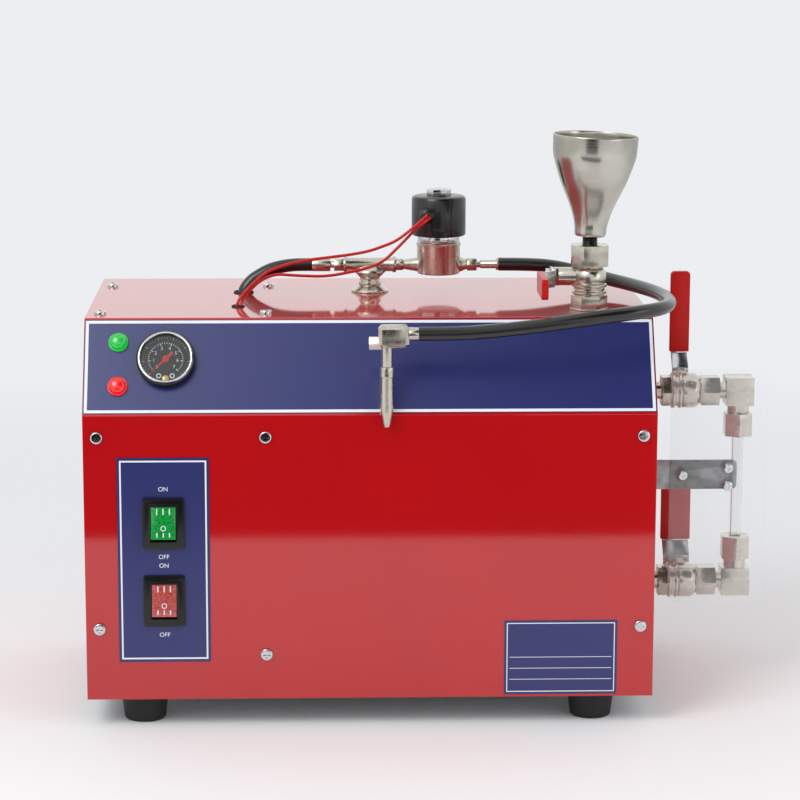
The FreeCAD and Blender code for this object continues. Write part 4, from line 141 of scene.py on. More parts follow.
def dress(piece, name, material, body="machine", stands_for=()):
    """Name a finished piece, paint it, and tie it to the body that it moves with."""
    piece.name = name
    piece.data.materials.clear()
    piece.data.materials.append(material)
    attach(piece, body)
    if stands_for:
        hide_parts(*stands_for)
    return piece


def join(pieces):
    """Make one piece of several."""
    only(pieces[0])
    for piece in pieces:
        piece.select_set(True)
    bpy.ops.object.join()
    return pieces[0]


def copy_of(piece, place, turn=(0, 0, 0)):
    """A copy with its own mesh, put in its own place."""
    twin = piece.copy()
    twin.data = piece.data.copy()
    bpy.context.collection.objects.link(twin)
    return settle(twin, place, turn)


# %% [markdown]
# ## Colours and shader nodes
# Paint colours are noted as hex values, as a paint chart gives them, and one function turns them
# into the linear values that a shader needs. One more adds a node with its settings and links.

# %% Colour and node helpers


def linear(hex_colour):
    channels = [int(hex_colour[i:i + 2], 16) / 255 for i in (1, 3, 5)]
    curved = [c / 12.92 if c <= 0.04045 else ((c + 0.055) / 1.055) ** 2.4 for c in channels]
    return (*curved, 1.0)


def add_node(tree, kind, settings=(), links=()):
    """Add a node, set its sockets and options, and link sockets to it."""
    node = tree.nodes.new(kind)
    for name, value in settings:
        if name in node.inputs:
            node.inputs[name].default_value = value
        else:
            setattr(node, name, value)
    for name, source in links:
        tree.links.new(source, node.inputs[name])
    return node


def start_material(name, settings):
    """A new material, its shader and the place on the object that patterns read."""
    material = bpy.data.materials.new(name)
    material.use_nodes = True
    tree = material.node_tree
    shader = tree.nodes["Principled BSDF"]
    for socket, value in settings:
        shader.inputs[socket].default_value = value
    place = add_node(tree, "ShaderNodeTexCoord").outputs["Object"]
    return material, tree, shader, place


def grain(millimetres):
    """The noise scale at which one grain is about that wide."""
    return 1 / (millimetres * MM)


# %% [markdown]
# ## Powder-coated steel
# The cabinet is sheet steel with a red polyester powder coat. The powder melts into a glossy skin
# that is never quite flat: it has an orange peel of shallow bumps one to two millimetres apart.
# That peel makes reflections waver. Seen steeply the skin shows the deep red under it, and at a
# low slant it mirrors the room, so the lid looks pink while the front stays crimson.

# %% Red powder coat


def make_powder_coat():
    material, tree, shader, place = start_material("powder coated steel", [
        ("Roughness", 0.4), ("IOR", 1.5), ("Specular IOR Level", 0.1), ("Coat Weight", 1.0),
        ("Coat Roughness", 0.05), ("Coat IOR", 1.7)])
    cloud = add_node(tree, "ShaderNodeTexNoise", [("Scale", grain(90)), ("Detail", 2.0)],
                     [("Vector", place)])
    colour = add_node(tree, "ShaderNodeMixRGB",
                      [("Color1", linear("#B00008")), ("Color2", linear("#BC020C"))],
                      [("Fac", cloud.outputs["Fac"])])
    peel = add_node(tree, "ShaderNodeTexNoise", [("Scale", grain(1.6)), ("Detail", 1.5)],
                    [("Vector", place)])
    bump = add_node(tree, "ShaderNodeBump", [("Strength", 0.04), ("Distance", 0.0002)],
                    [("Height", peel.outputs["Fac"])])
    tree.links.new(colour.outputs["Color"], shader.inputs["Base Color"])
    tree.links.new(bump.outputs["Normal"], shader.inputs["Normal"])
    tree.links.new(bump.outputs["Normal"], shader.inputs["Coat Normal"])
    return material


POWDER_RED = make_powder_coat()

# %% [markdown]
# ## Printed film
# The control overlays are polyester film printed with navy ink. The film is smooth and semi-gloss,
# with a faint dust of darker specks in the ink. The white print is an opaque matt ink.

# %% Navy film and white ink


def make_navy_film():
    material, tree, shader, place = start_material("printed navy film", [
        ("Roughness", 0.34), ("IOR", 1.49), ("Coat Weight", 0.5), ("Coat Roughness", 0.22)])
    specks = add_node(tree, "ShaderNodeTexNoise", [("Scale", grain(0.9)), ("Detail", 3.0)],
                      [("Vector", place)])
    ramp = add_node(tree, "ShaderNodeMixRGB",
                    [("Color1", linear("#191F5C")), ("Color2", linear("#222A70"))],
                    [("Fac", specks.outputs["Fac"])])
    bump = add_node(tree, "ShaderNodeBump", [("Strength", 0.04), ("Distance", 0.0001)],
                    [("Height", specks.outputs["Fac"])])
    tree.links.new(ramp.outputs["Color"], shader.inputs["Base Color"])
    tree.links.new(bump.outputs["Normal"], shader.inputs["Normal"])
    return material


def make_white_ink():
    material, tree, shader, place = start_material("white screen ink", [("Roughness", 0.5), ("IOR", 1.48)])
    cover = add_node(tree, "ShaderNodeTexNoise", [("Scale", grain(0.6)), ("Detail", 2.0)],
                     [("Vector", place)])
    colour = add_node(tree, "ShaderNodeMixRGB",
                      [("Color1", linear("#D9DCE4")), ("Color2", linear("#F2F3F6"))],
                      [("Fac", cover.outputs["Fac"])])
    tree.links.new(colour.outputs["Color"], shader.inputs["Base Color"])
    return material


NAVY_FILM = make_navy_film()
WHITE_INK = make_white_ink()

# %% [markdown]
# ## Metals
# The pipe fittings are brass with a nickel plate, so they look like warm steel. They were cast or
# sawn from bar, which leaves a soft mottle under the plate. The funnel is spun stainless steel,
# and the tool leaves fine rings round its axis. Sheet parts that nobody paints are zinc plated,
# with a cloudy dull skin. A metal keeps the shader's own IOR.

# %% Nickel plate, spun steel, zinc plate, bright plate and brass


def make_nickel():
    material, tree, shader, place = start_material("nickel plated brass", [("Metallic", 1.0)])
    mottle = add_node(tree, "ShaderNodeTexNoise", [("Scale", grain(3.5)), ("Detail", 4.0)],
                      [("Vector", place)])
    colour = add_node(tree, "ShaderNodeMixRGB",
                      [("Color1", linear("#B8B0A0")), ("Color2", linear("#DDD8CE"))],
                      [("Fac", mottle.outputs["Fac"])])
    dull = add_node(tree, "ShaderNodeMapRange", [("To Min", 0.14), ("To Max", 0.34)],
                    [("Value", mottle.outputs["Fac"])])
    bump = add_node(tree, "ShaderNodeBump", [("Strength", 0.12), ("Distance", 0.0003)],
                    [("Height", mottle.outputs["Fac"])])
    tree.links.new(colour.outputs["Color"], shader.inputs["Base Color"])
    tree.links.new(dull.outputs["Result"], shader.inputs["Roughness"])
    tree.links.new(bump.outputs["Normal"], shader.inputs["Normal"])
    return material


def make_spun_steel():
    material, tree, shader, place = start_material("spun stainless steel", [("Metallic", 1.0)])
    rings = add_node(tree, "ShaderNodeMapping", [("Scale", (0.02, 0.02, 1.0))], [("Vector", place)])
    lines = add_node(tree, "ShaderNodeTexNoise", [("Scale", grain(0.7)), ("Detail", 3.0)],
                     [("Vector", rings.outputs["Vector"])])
    stains = add_node(tree, "ShaderNodeTexNoise", [("Scale", grain(24)), ("Detail", 3.0)],
                      [("Vector", place)])
    colour = add_node(tree, "ShaderNodeMixRGB",
                      [("Color1", linear("#9C9789")), ("Color2", linear("#DAD7CF"))],
                      [("Fac", stains.outputs["Fac"])])
    dull = add_node(tree, "ShaderNodeMapRange", [("To Min", 0.12), ("To Max", 0.30)],
                    [("Value", lines.outputs["Fac"])])
    bump = add_node(tree, "ShaderNodeBump", [("Strength", 0.10), ("Distance", 0.0002)],
                    [("Height", lines.outputs["Fac"])])
    tree.links.new(colour.outputs["Color"], shader.inputs["Base Color"])
    tree.links.new(dull.outputs["Result"], shader.inputs["Roughness"])
    tree.links.new(bump.outputs["Normal"], shader.inputs["Normal"])
    return material


def make_zinc():
    material, tree, shader, place = start_material("zinc plated sheet", [("Metallic", 1.0)])
    cloud = add_node(tree, "ShaderNodeTexVoronoi", [("Scale", grain(6))], [("Vector", place)])
    colour = add_node(tree, "ShaderNodeMixRGB",
                      [("Color1", linear("#8E9193")), ("Color2", linear("#B4B7B8"))],
                      [("Fac", cloud.outputs["Distance"])])
    scratches = add_node(tree, "ShaderNodeTexNoise", [("Scale", grain(0.8)), ("Detail", 4.0)],
                         [("Vector", place)])
    dull = add_node(tree, "ShaderNodeMapRange", [("To Min", 0.40), ("To Max", 0.62)],
                    [("Value", scratches.outputs["Fac"])])
    tree.links.new(colour.outputs["Color"], shader.inputs["Base Color"])
    tree.links.new(dull.outputs["Result"], shader.inputs["Roughness"])
    return material


def make_bright_plate():
    material, tree, shader, place = start_material("bright plated steel",
                                                   [("Metallic", 1.0), ("Roughness", 0.16)])
    wear = add_node(tree, "ShaderNodeTexNoise", [("Scale", grain(1.4)), ("Detail", 3.0)],
                    [("Vector", place)])
    colour = add_node(tree, "ShaderNodeMixRGB",
                      [("Color1", linear("#BFC1C4")), ("Color2", linear("#E6E7E8"))],
                      [("Fac", wear.outputs["Fac"])])
    tree.links.new(colour.outputs["Color"], shader.inputs["Base Color"])
    return material


def make_bare_brass():
    material, tree, shader, place = start_material("turned brass", [("Metallic", 1.0), ("Roughness", 0.3)])
    tarnish = add_node(tree, "ShaderNodeTexNoise", [("Scale", grain(2.0)), ("Detail", 3.0)],
                       [("Vector", place)])
    colour = add_node(tree, "ShaderNodeMixRGB",
                      [("Color1", linear("#B08A3C")), ("Color2", linear("#E0C682"))],
                      [("Fac", tarnish.outputs["Fac"])])
    tree.links.new(colour.outputs["Color"], shader.inputs["Base Color"])
    return material


NICKEL = make_nickel()
BARE_BRASS = make_bare_brass()
SPUN_STEEL = make_spun_steel()
ZINC = make_zinc()
BRIGHT_PLATE = make_bright_plate()

# %% [markdown]
# ## Rubber and moulded plastics
# The feet and grommets are moulded black rubber, dull with a fine tooth. The hose has a smooth
# extruded rubber cover that shines along its length. The coil is potted in hard black resin, and
# the switches are moulded nylon. The lever grips are dipped vinyl, which lets a little light in.

# %% Rubber, resin, nylon and vinyl


def make_moulded(name, dark, pale, roughness, tooth, depth):
    """A moulded surface: its two close colours, its gloss, and its tooth in millimetres."""
    material, tree, shader, place = start_material(name, [("Roughness", roughness), ("IOR", 1.5)])
    noise = add_node(tree, "ShaderNodeTexNoise", [("Scale", grain(tooth)), ("Detail", 3.0)],
                     [("Vector", place)])
    colour = add_node(tree, "ShaderNodeMixRGB", [("Color1", linear(dark)), ("Color2", linear(pale))],
                      [("Fac", noise.outputs["Fac"])])
    bump = add_node(tree, "ShaderNodeBump", [("Strength", depth), ("Distance", 0.0002)],
                    [("Height", noise.outputs["Fac"])])
    tree.links.new(colour.outputs["Color"], shader.inputs["Base Color"])
    tree.links.new(bump.outputs["Normal"], shader.inputs["Normal"])
    return material, shader


FOOT_RUBBER, _ = make_moulded("moulded foot rubber", "#0A0A0B", "#1B1B1C", 0.62, 0.7, 0.25)
HOSE_RUBBER, hose_shader = make_moulded("extruded hose rubber", "#070706", "#141312", 0.30, 2.2, 0.06)
COIL_RESIN, coil_shader = make_moulded("potting resin", "#030304", "#09090B", 0.34, 1.2, 0.10)
SWITCH_NYLON, _ = make_moulded("black nylon", "#060607", "#101012", 0.28, 0.8, 0.05)
GREY_PLASTIC, _ = make_moulded("grey thermoplastic", "#8D9093", "#A3A6A8", 0.45, 1.0, 0.10)
WIRE_RED, _ = make_moulded("wire insulation", "#B3080A", "#CF1512", 0.35, 1.5, 0.05)
GRIP_VINYL, grip_shader = make_moulded("dipped vinyl", "#AE0602", "#C41204", 0.28, 5.0, 0.06)
DIAL_PAINT, _ = make_moulded("dial paint", "#060607", "#0E0E10", 0.55, 1.0, 0.05)
NEEDLE_RED, _ = make_moulded("needle paint", "#C2160C", "#D92316", 0.45, 1.0, 0.03)
hose_shader.inputs["Coat Weight"].default_value = 0.5
hose_shader.inputs["Coat Roughness"].default_value = 0.18
coil_shader.inputs["Coat Weight"].default_value = 0.3
grip_shader.inputs["Specular IOR Level"].default_value = 0.25
grip_shader.inputs["Subsurface Weight"].default_value = 0.15
grip_shader.inputs["Subsurface Radius"].default_value = (0.004, 0.0012, 0.0006)
grip_shader.inputs["Subsurface Scale"].default_value = 1.0

# %% [markdown]
# ## Clear and tinted parts
# Lamp lenses and rockers are tinted polycarbonate with a lamp behind them. A thin moulding like
# that glows from inside, so the shader gives a little light of its own colour. The gauge's window
# and the level tube are glass. The guard is a clear acrylic sheet, too flat to bend what is seen
# through it, so it is mostly see-through and keeps only a faint tint and shine.

# %% Lenses, rockers, glass and acrylic


def make_lens(name, deep, bright, glow):
    """Tinted polycarbonate over a lamp: its deep and bright colours and how much it glows."""
    material, tree, shader, place = start_material(name, [
        ("Roughness", 0.16), ("IOR", 1.58), ("Transmission Weight", 0.25), ("Emission Strength", glow),
        ("Emission Color", linear(bright)), ("Coat Weight", 0.6), ("Coat Roughness", 0.08)])
    ripple = add_node(tree, "ShaderNodeTexVoronoi", [("Scale", grain(1.5))], [("Vector", place)])
    colour = add_node(tree, "ShaderNodeMixRGB", [("Color1", linear(bright)), ("Color2", linear(deep))],
                      [("Fac", ripple.outputs["Distance"])])
    bump = add_node(tree, "ShaderNodeBump", [("Strength", 0.35), ("Distance", 0.0003)],
                    [("Height", ripple.outputs["Distance"])])
    tree.links.new(colour.outputs["Color"], shader.inputs["Base Color"])
    tree.links.new(bump.outputs["Normal"], shader.inputs["Normal"])
    return material


def make_clear(name, tint, ior, roughness):
    material, tree, shader, place = start_material(name, [
        ("IOR", ior), ("Transmission Weight", 1.0), ("Base Color", linear(tint)), ("Roughness", roughness)])
    smear = add_node(tree, "ShaderNodeTexNoise", [("Scale", grain(14)), ("Detail", 2.0)],
                     [("Vector", place)])
    haze = add_node(tree, "ShaderNodeMapRange", [("To Min", roughness), ("To Max", roughness + 0.05)],
                    [("Value", smear.outputs["Fac"])])
    tree.links.new(haze.outputs["Result"], shader.inputs["Roughness"])
    return material


def press_facets(material, width, turn):
    """Press a square grid of small facets into a lens, a width in millimetres apart."""
    tree = material.node_tree
    lens = [node for node in tree.nodes if node.type == "TEX_VORONOI"][0]
    lens.voronoi_dimensions = "2D"
    lens.inputs["Randomness"].default_value = 0.0
    lens.inputs["Scale"].default_value = grain(width)
    flat = add_node(tree, "ShaderNodeMapping", [("Rotation", turn)],
                    [("Vector", tree.nodes["Texture Coordinate"].outputs["Object"])])
    tree.links.new(flat.outputs["Vector"], lens.inputs["Vector"])
    return material


FACET = 1.5
FACETS_TURN = (-PANEL_TILT, 0, math.radians(45))
GREEN_LENS = make_lens("green polycarbonate", "#04551D", "#18B24A", 0.18)
ROSE_LENS = make_lens("rose polycarbonate", "#8E2E2E", "#D86A66", 0.12)
GREEN_JEWEL = press_facets(make_lens("green jewel", "#024A12", "#1FD24E", 0.30), FACET, FACETS_TURN)
RED_JEWEL = press_facets(make_lens("red jewel", "#7A0306", "#FF2018", 0.30), FACET, FACETS_TURN)
WINDOW_GLASS = make_clear("window glass", "#FDFEFE", 1.45, 0.0)
TUBE_GLASS = make_clear("borosilicate tube", "#FBFDFD", 1.47, 0.0)


def make_acrylic():
    material, tree, shader, place = start_material("clear acrylic", [("IOR", 1.49), ("Alpha", 0.10)])
    smear = add_node(tree, "ShaderNodeTexNoise", [("Scale", grain(14)), ("Detail", 2.0)],
                     [("Vector", place)])
    colour = add_node(tree, "ShaderNodeMixRGB",
                      [("Color1", linear("#DDE6EA")), ("Color2", linear("#F7FAFB"))],
                      [("Fac", smear.outputs["Fac"])])
    haze = add_node(tree, "ShaderNodeMapRange", [("To Min", 0.02), ("To Max", 0.08)],
                    [("Value", smear.outputs["Fac"])])
    tree.links.new(colour.outputs["Color"], shader.inputs["Base Color"])
    tree.links.new(haze.outputs["Result"], shader.inputs["Roughness"])
    return material


ACRYLIC = make_acrylic()

# %% [markdown]
# ## The CAD parts that already have the right shape
# Sheet parts, the boiler and its fittings are right as they come, so they only get a surface.
# Machined and moulded parts look real once their sharp edges are broken, because a broken edge
# catches a thin line of light. A merged copy of the node gets that edge and stands in for it.

# %% Surfaces on the parts that keep their CAD shape
KEPT_AS_THEY_ARE = {
    "cover": POWDER_RED,
    "left_side_panel": POWDER_RED,
    "right_side_panel": POWDER_RED,
    "rear_panel": POWDER_RED,
    "base_tray": ZINC,
    "bulkhead": ZINC,
    "control_overlay": NAVY_FILM,
    "switch_plate": NAVY_FILM,
    "rating_plate": NAVY_FILM,
    "boiler_tank": SPUN_STEEL,
    "boiler_supports": ZINC,
    "boiler_risers": NICKEL,
    "heating_element": SPUN_STEEL,
    "safety_valve": BARE_BRASS,
    "pressure_switch": GREY_PLASTIC,
    "power_relay": GREY_PLASTIC,
    "solenoid_plunger": SPUN_STEEL,
    "plunger_spring": BRIGHT_PLATE,
    "gauge_dial": DIAL_PAINT,
    "gauge_pointer": NEEDLE_RED,
    "fill_valve_ball": BRIGHT_PLATE,
    "upper_valve_ball": BRIGHT_PLATE,
    "lower_valve_ball": BRIGHT_PLATE,
}
for node, material in KEPT_AS_THEY_ARE.items():
    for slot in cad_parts[node].material_slots:
        slot.material = material

# %% Merged copies with broken edges


def merged_copy(node):
    """A copy of a CAD node with its triangles joined and its flat faces made whole."""
    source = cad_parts[node]
    piece = source.copy()
    piece.data = source.data.copy()
    for key in list(piece.keys()):
        del piece[key]
    bpy.context.collection.objects.link(piece)
    piece.parent = None
    piece.matrix_world = Matrix.Identity(4)
    only(piece)
    bpy.ops.mesh.customdata_custom_splitnormals_clear()
    bpy.ops.object.mode_set(mode="EDIT")
    bpy.ops.mesh.select_all(action="SELECT")
    bpy.ops.mesh.remove_doubles(threshold=0.002 * MM)
    bpy.ops.mesh.dissolve_limited(angle_limit=math.radians(0.6))
    bpy.ops.object.mode_set(mode="OBJECT")
    return piece


SOFTENED = {
    "rubber_feet": (1.2, FOOT_RUBBER, "machine"),
    "mains_gland": (0.3, SWITCH_NYLON, "machine"),
    "pedal_socket": (0.2, SWITCH_NYLON, "machine"),
    "drain_plug": (0.4, NICKEL, "machine"),
    "steam_tee": (0.4, NICKEL, "machine"),
    "hose_tails": (0.25, NICKEL, "machine"),
    "pressure_line": (0.0, HOSE_RUBBER, "machine"),
    "top_grommets": (0.3, FOOT_RUBBER, "machine"),
    "top_lock_nuts": (0.25, NICKEL, "machine"),
    "solenoid_body": (0.25, NICKEL, "machine"),
    "solenoid_coil": (0.5, COIL_RESIN, "machine"),
    "coil_nut": (0.35, BRIGHT_PLATE, "machine"),
    "coil_leads": (0.0, WIRE_RED, "machine"),
    "gauge_case": (0.2, SWITCH_NYLON, "machine"),
    "gauge_bezel": (0.25, SWITCH_NYLON, "machine"),
    "gauge_lens": (0.0, WINDOW_GLASS, "machine"),
    "switch_bodies": (0.35, SWITCH_NYLON, "machine"),
    "fill_valve_body": (0.45, NICKEL, "machine"),
    "gauge_valve_bodies": (0.4, NICKEL, "machine"),
    "gauge_blocks": (0.8, NICKEL, "machine"),
    "gauge_gland_nuts": (0.5, NICKEL, "machine"),
    "gauge_glass": (0.0, TUBE_GLASS, "machine"),
    "guard_bracket": (0.2, ZINC, "machine"),
    "gauge_guard": (0.3, ACRYLIC, "machine"),
    "nozzle_ferrule": (0.3, NICKEL, "machine"),
    "nozzle_elbow": (0.8, NICKEL, "machine"),
    "steam_nozzle": (0.25, NICKEL, "machine"),
    "green_rocker": (0.5, GREEN_LENS, "green_button"),
    "red_rocker": (0.5, ROSE_LENS, "red_button"),
}
for node, (edge, material, body) in SOFTENED.items():
    piece = merged_copy(node)
    if edge:
        soften(piece, edge)
    else:
        only(piece)
        bpy.ops.object.shade_smooth_by_angle(angle=math.radians(40))
    dress(piece, node + "_finished", material, body, (node,))

# %% [markdown]
# ## Lever handles
# A ball valve's handle is a cranked steel strip, held by a nut, with a grip of soft vinyl dipped
# over its far end. The engineering model has the three in one node. The faces past the crank are
# parted off as a piece of their own, so the strip can be bright steel and the grip red vinyl.

# %% Steel strips and vinyl grips
CRANK_END = 24.9
FILL_CRANK_END = 25.9


def part_off(piece, is_grip):
    """Part the faces whose corners all pass a test from the rest, as a new piece."""
    only(piece)
    bpy.ops.object.mode_set(mode="EDIT")
    bpy.ops.mesh.select_mode(type="FACE")
    bpy.ops.mesh.select_all(action="DESELECT")
    bpy.ops.object.mode_set(mode="OBJECT")
    corners = piece.data.vertices
    for face in piece.data.polygons:
        face.select = all(is_grip(corners[index].co) for index in face.vertices)
    bpy.ops.object.mode_set(mode="EDIT")
    bpy.ops.mesh.separate(type="SELECTED")
    bpy.ops.object.mode_set(mode="OBJECT")
    return [other for other in bpy.context.selected_objects if other != piece][0]


LEVERS = {
    "fill_lever": ("fill_tap", lambda corner: corner.y < at(0, 76.0 - FILL_CRANK_END, 0).y),
    "upper_lever": ("upper_gauge_tap", lambda corner: corner.z > at(0, 0, 212.0 + CRANK_END).z),
    "lower_lever": ("lower_gauge_tap", lambda corner: corner.z > at(0, 0, 62.0 + CRANK_END).z),
}
for node, (body, is_grip) in LEVERS.items():
    strip = merged_copy(node)
    grip = part_off(strip, is_grip)
    soften(strip, 0.3)
    soften(grip, 0.7, 3)
    dress(strip, node + "_strip", BRIGHT_PLATE, body)
    dress(grip, node + "_grip", GRIP_VINYL, body, (node,))
    print(node, "grip faces", len(grip.data.polygons), "strip faces", len(strip.data.polygons))

# %% [markdown]
# ## The steam hose
# The hose is one length of rubber tube from the valve's outlet round the right side to the hand
# nozzle. It is a single smooth spline with a round section: the points below are the places that
# a fitter would give for its run, and the spline draws the curve that the rubber takes.

# %% Steam hose
HOSE_RADIUS = 5.2
HOSE_ROUTE = (
    (313.9, 170.0, 301.0),
    (331.0, 170.0, 301.0),
    (355.5, 176.5, 299.0),
    (382.0, 169.0, 293.8),
    (404.0, 145.0, 291.2),
    (420.0, 114.0, 290.8),
    (431.5, 81.0, 290.3),
    (434.5, 48.0, 289.5),
    (425.0, 15.0, 289.8),
    (399.0, -3.5, 289.2),
    (364.0, -8.5, 285.4),
    (327.0, -8.0, 280.2),
    (291.0, -6.4, 276.2),
    (267.0, -5.8, 275.0),
    (244.6, -5.8, 275.0),
)
curve = bpy.data.curves.new("steam_hose", "CURVE")
curve.dimensions = "3D"
curve.bevel_depth = HOSE_RADIUS * MM
curve.bevel_resolution = 6
curve.resolution_u = 16
curve.use_fill_caps = True
spline = curve.splines.new("NURBS")
spline.points.add(len(HOSE_ROUTE) - 1)
for point, place in zip(spline.points, HOSE_ROUTE):
    point.co = (*at(*place), 1.0)
spline.order_u = 3
spline.use_endpoint_u = True
hose = bpy.data.objects.new("steam_hose_rubber", curve)
bpy.context.collection.objects.link(hose)
dress(hose, "steam_hose_rubber", HOSE_RUBBER, "machine", ("steam_hose",))

# %% [markdown]
# ## The funnel
# The funnel is spun from thin stainless steel: a neck, a cone and a nearly straight mouth with a
# turned lip. A circle is drawn up ring by ring, as the metal is over its former, and the wall
# gets its thickness at the end. It stands a little askew in the valve, on a black threaded stem.

# %% Funnel bowl and stem
FUNNEL_FOOT = (376.0, 76.0, 334.8)
FUNNEL_LEAN = math.radians(2.5)
FUNNEL_WALL = 0.8
FUNNEL_RINGS = ((5.8, 0.4), (10.6, 0.4), (11.9, 1.2), (11.9, 6.0), (12.4, 9.7), (14.6, 18.5), (19.3, 29.5),
                (24.8, 40.6), (28.3, 51.6), (30.8, 59.0), (31.6, 64.0), (31.9, 75.8), (32.0, 76.6))


def draw_up(rings, sides):
    """Extrude a circle through rings of (radius, height) in millimetres, from the bottom up."""
    radius, height = rings[0]
    bpy.ops.mesh.primitive_circle_add(vertices=sides, radius=radius * MM, location=(0, 0, height * MM))
    piece = bpy.context.object
    settle(piece, piece.location)
    bpy.ops.object.mode_set(mode="EDIT")
    bpy.ops.mesh.select_mode(type="VERT")
    bpy.ops.mesh.select_all(action="SELECT")
    for next_radius, next_height in rings[1:]:
        step = (0, 0, (next_height - height) * MM)
        bpy.ops.mesh.extrude_region_move(TRANSFORM_OT_translate={"value": step})
        share = next_radius / radius
        bpy.ops.transform.resize(value=(share, share, 1), center_override=(0, 0, next_height * MM))
        radius, height = next_radius, next_height
    bpy.ops.mesh.select_all(action="SELECT")
    bpy.ops.mesh.normals_make_consistent(inside=False)
    bpy.ops.object.mode_set(mode="OBJECT")
    return piece


bowl = draw_up(FUNNEL_RINGS, 64)
wall = bowl.modifiers.new("wall", "SOLIDIFY")
wall.thickness = FUNNEL_WALL * MM
wall.offset = -1
smooth = bowl.modifiers.new("smooth", "SUBSURF")
smooth.levels = 1
smooth.render_levels = 1
apply_modifiers(bowl)
bpy.ops.object.shade_smooth()
settle(bowl, at(*FUNNEL_FOOT), (0, FUNNEL_LEAN, 0))
dress(bowl, "funnel_bowl", SPUN_STEEL, "machine", ("funnel",))

THREAD_PITCH = 1.4
thread_rings = []
height = -7.6
while height < 0.2:
    thread_rings += [(5.25, height), (5.8, height + 0.35 * THREAD_PITCH), (5.8, height + 0.55 * THREAD_PITCH)]
    height += THREAD_PITCH
stem = draw_up([(4.4, -7.6)] + thread_rings + [(5.25, height), (4.4, height)], 32)
only(stem)
bpy.ops.object.shade_smooth_by_angle(angle=math.radians(50))
settle(stem, at(*FUNNEL_FOOT))
dress(stem, "funnel_stem", SWITCH_NYLON)

# %% [markdown]
# ## Panel screws
# The cabinet is held by pan-head machine screws with a cross recess. One head is a low cylinder
# with its top edge rounded. Two crossed tapered bars, taken away from it, leave the recess.
# It is modelled once, looking up, and a copy is turned to face out of each panel.

# %% One screw, and its copies
HEAD_RADIUS = 4.5
HEAD_HEIGHT = 2.4


def make_screw(radius):
    bpy.ops.mesh.primitive_cylinder_add(vertices=28, radius=radius * MM, depth=HEAD_HEIGHT * MM,
                                        location=(0, 0, HEAD_HEIGHT / 2 * MM))
    head = settle(bpy.context.object, bpy.context.object.location)
    bpy.ops.object.mode_set(mode="EDIT")
    bpy.ops.mesh.select_mode(type="FACE")
    bpy.ops.mesh.select_all(action="DESELECT")
    bpy.ops.object.mode_set(mode="OBJECT")
    for face in head.data.polygons:
        face.select = face.normal.z > 0.9
    bpy.ops.object.mode_set(mode="EDIT")
    bpy.ops.mesh.bevel(offset=1.1 * MM, segments=4, affect="EDGES")
    bpy.ops.object.mode_set(mode="OBJECT")
    for turn in (0.0, UPRIGHT):
        bpy.ops.mesh.primitive_cube_add(size=1, location=(0, 0, HEAD_HEIGHT * MM))
        bar = bpy.context.object
        bar.scale = (radius * 1.15 * MM, radius * 0.24 * MM, 2.2 * MM)
        settle(bar, bar.location, (0, 0, turn))
        cut = head.modifiers.new("recess", "BOOLEAN")
        cut.operation = "DIFFERENCE"
        cut.object = bar
        apply_modifiers(head)
        bpy.data.objects.remove(bar)
    only(head)
    bpy.ops.object.shade_smooth_by_angle(angle=math.radians(40))
    return head


FACING = {"front": (UPRIGHT, 0, 0), "back": (-UPRIGHT, 0, 0), "up": (0, 0, 0), "down": (math.pi, 0, 0),
          "right": (0, UPRIGHT, 0)}
FRONT_SCREWS = ((10, 198), (133, 198), (410, 198), (10, 54), (133, 34), (410, 54))
SCREWS = [("front", (x, 0, z)) for x, z in FRONT_SCREWS]
SCREWS += [("up", (x, y, 280)) for x in (10, 133) for y in (60, 198)]
SCREWS += [("back", (x, 240, z)) for x in (10, 410) for z in (54, 230)]
SCREWS += [("down", (x, y, -7)) for x in (41, 376.5) for y in (28, 212)]
SCREWS += [("right", (422, 108, z)) for z in (143, 154.8)]
GUARD_SCREWS = [("front", (x, 86.5, z)) for x, z in ((486.0, 154.6), (486.0, 140.9), (451.0, 149.2))]
screw = make_screw(HEAD_RADIUS)
small_screw = make_screw(3.9)
heads = [copy_of(screw, at(*place), FACING[side]) for side, place in SCREWS]
heads += [copy_of(small_screw, at(*place), FACING[side]) for side, place in GUARD_SCREWS]
bpy.data.objects.remove(screw)
bpy.data.objects.remove(small_screw)
screws = join(heads)
dress(screws, "screw_heads", BRIGHT_PLATE, "machine", ("panel_screws",))
print("screws", len(SCREWS) + len(GUARD_SCREWS))

# %% [markdown]
# ## Printed lines and letters
# A printed line is a few hundredths of a millimetre of ink. It is drawn as a thin frame that
# stands just proud of the film, so it stays crisp from every side. Letters and numbers are text
# objects turned into meshes.

# %% Frames, rules and letters
INK = 0.06


def ink_rectangle(width, height):
    """A thin sheet of ink, its middle at the origin, facing up."""
    bpy.ops.mesh.primitive_plane_add(size=1)
    sheet = bpy.context.object
    sheet.scale = (width * MM, height * MM, 1)
    settle(sheet)
    return sheet


def thicken(piece):
    ink = piece.modifiers.new("ink", "SOLIDIFY")
    ink.thickness = INK * MM
    ink.offset = 1
    return apply_modifiers(piece)


def ink_frame(width, height, line):
    """A printed border of one line width."""
    piece = ink_rectangle(width, height)
    bpy.ops.object.mode_set(mode="EDIT")
    bpy.ops.mesh.select_mode(type="FACE")
    bpy.ops.mesh.select_all(action="SELECT")
    bpy.ops.mesh.inset(thickness=line * MM)
    bpy.ops.mesh.delete(type="FACE")
    bpy.ops.object.mode_set(mode="OBJECT")
    return thicken(piece)


def ink_text(words, height):
    """Printed letters, centred, with capitals of a height in millimetres."""
    bpy.ops.object.text_add()
    text = bpy.context.object
    text.data.body = words
    text.data.size = height / 0.7 * MM
    text.data.align_x = "CENTER"
    text.data.align_y = "CENTER"
    text.data.extrude = INK / 2 * MM
    text.data.resolution_u = 4
    only(text)
    bpy.ops.object.convert(target="MESH")
    return bpy.context.object


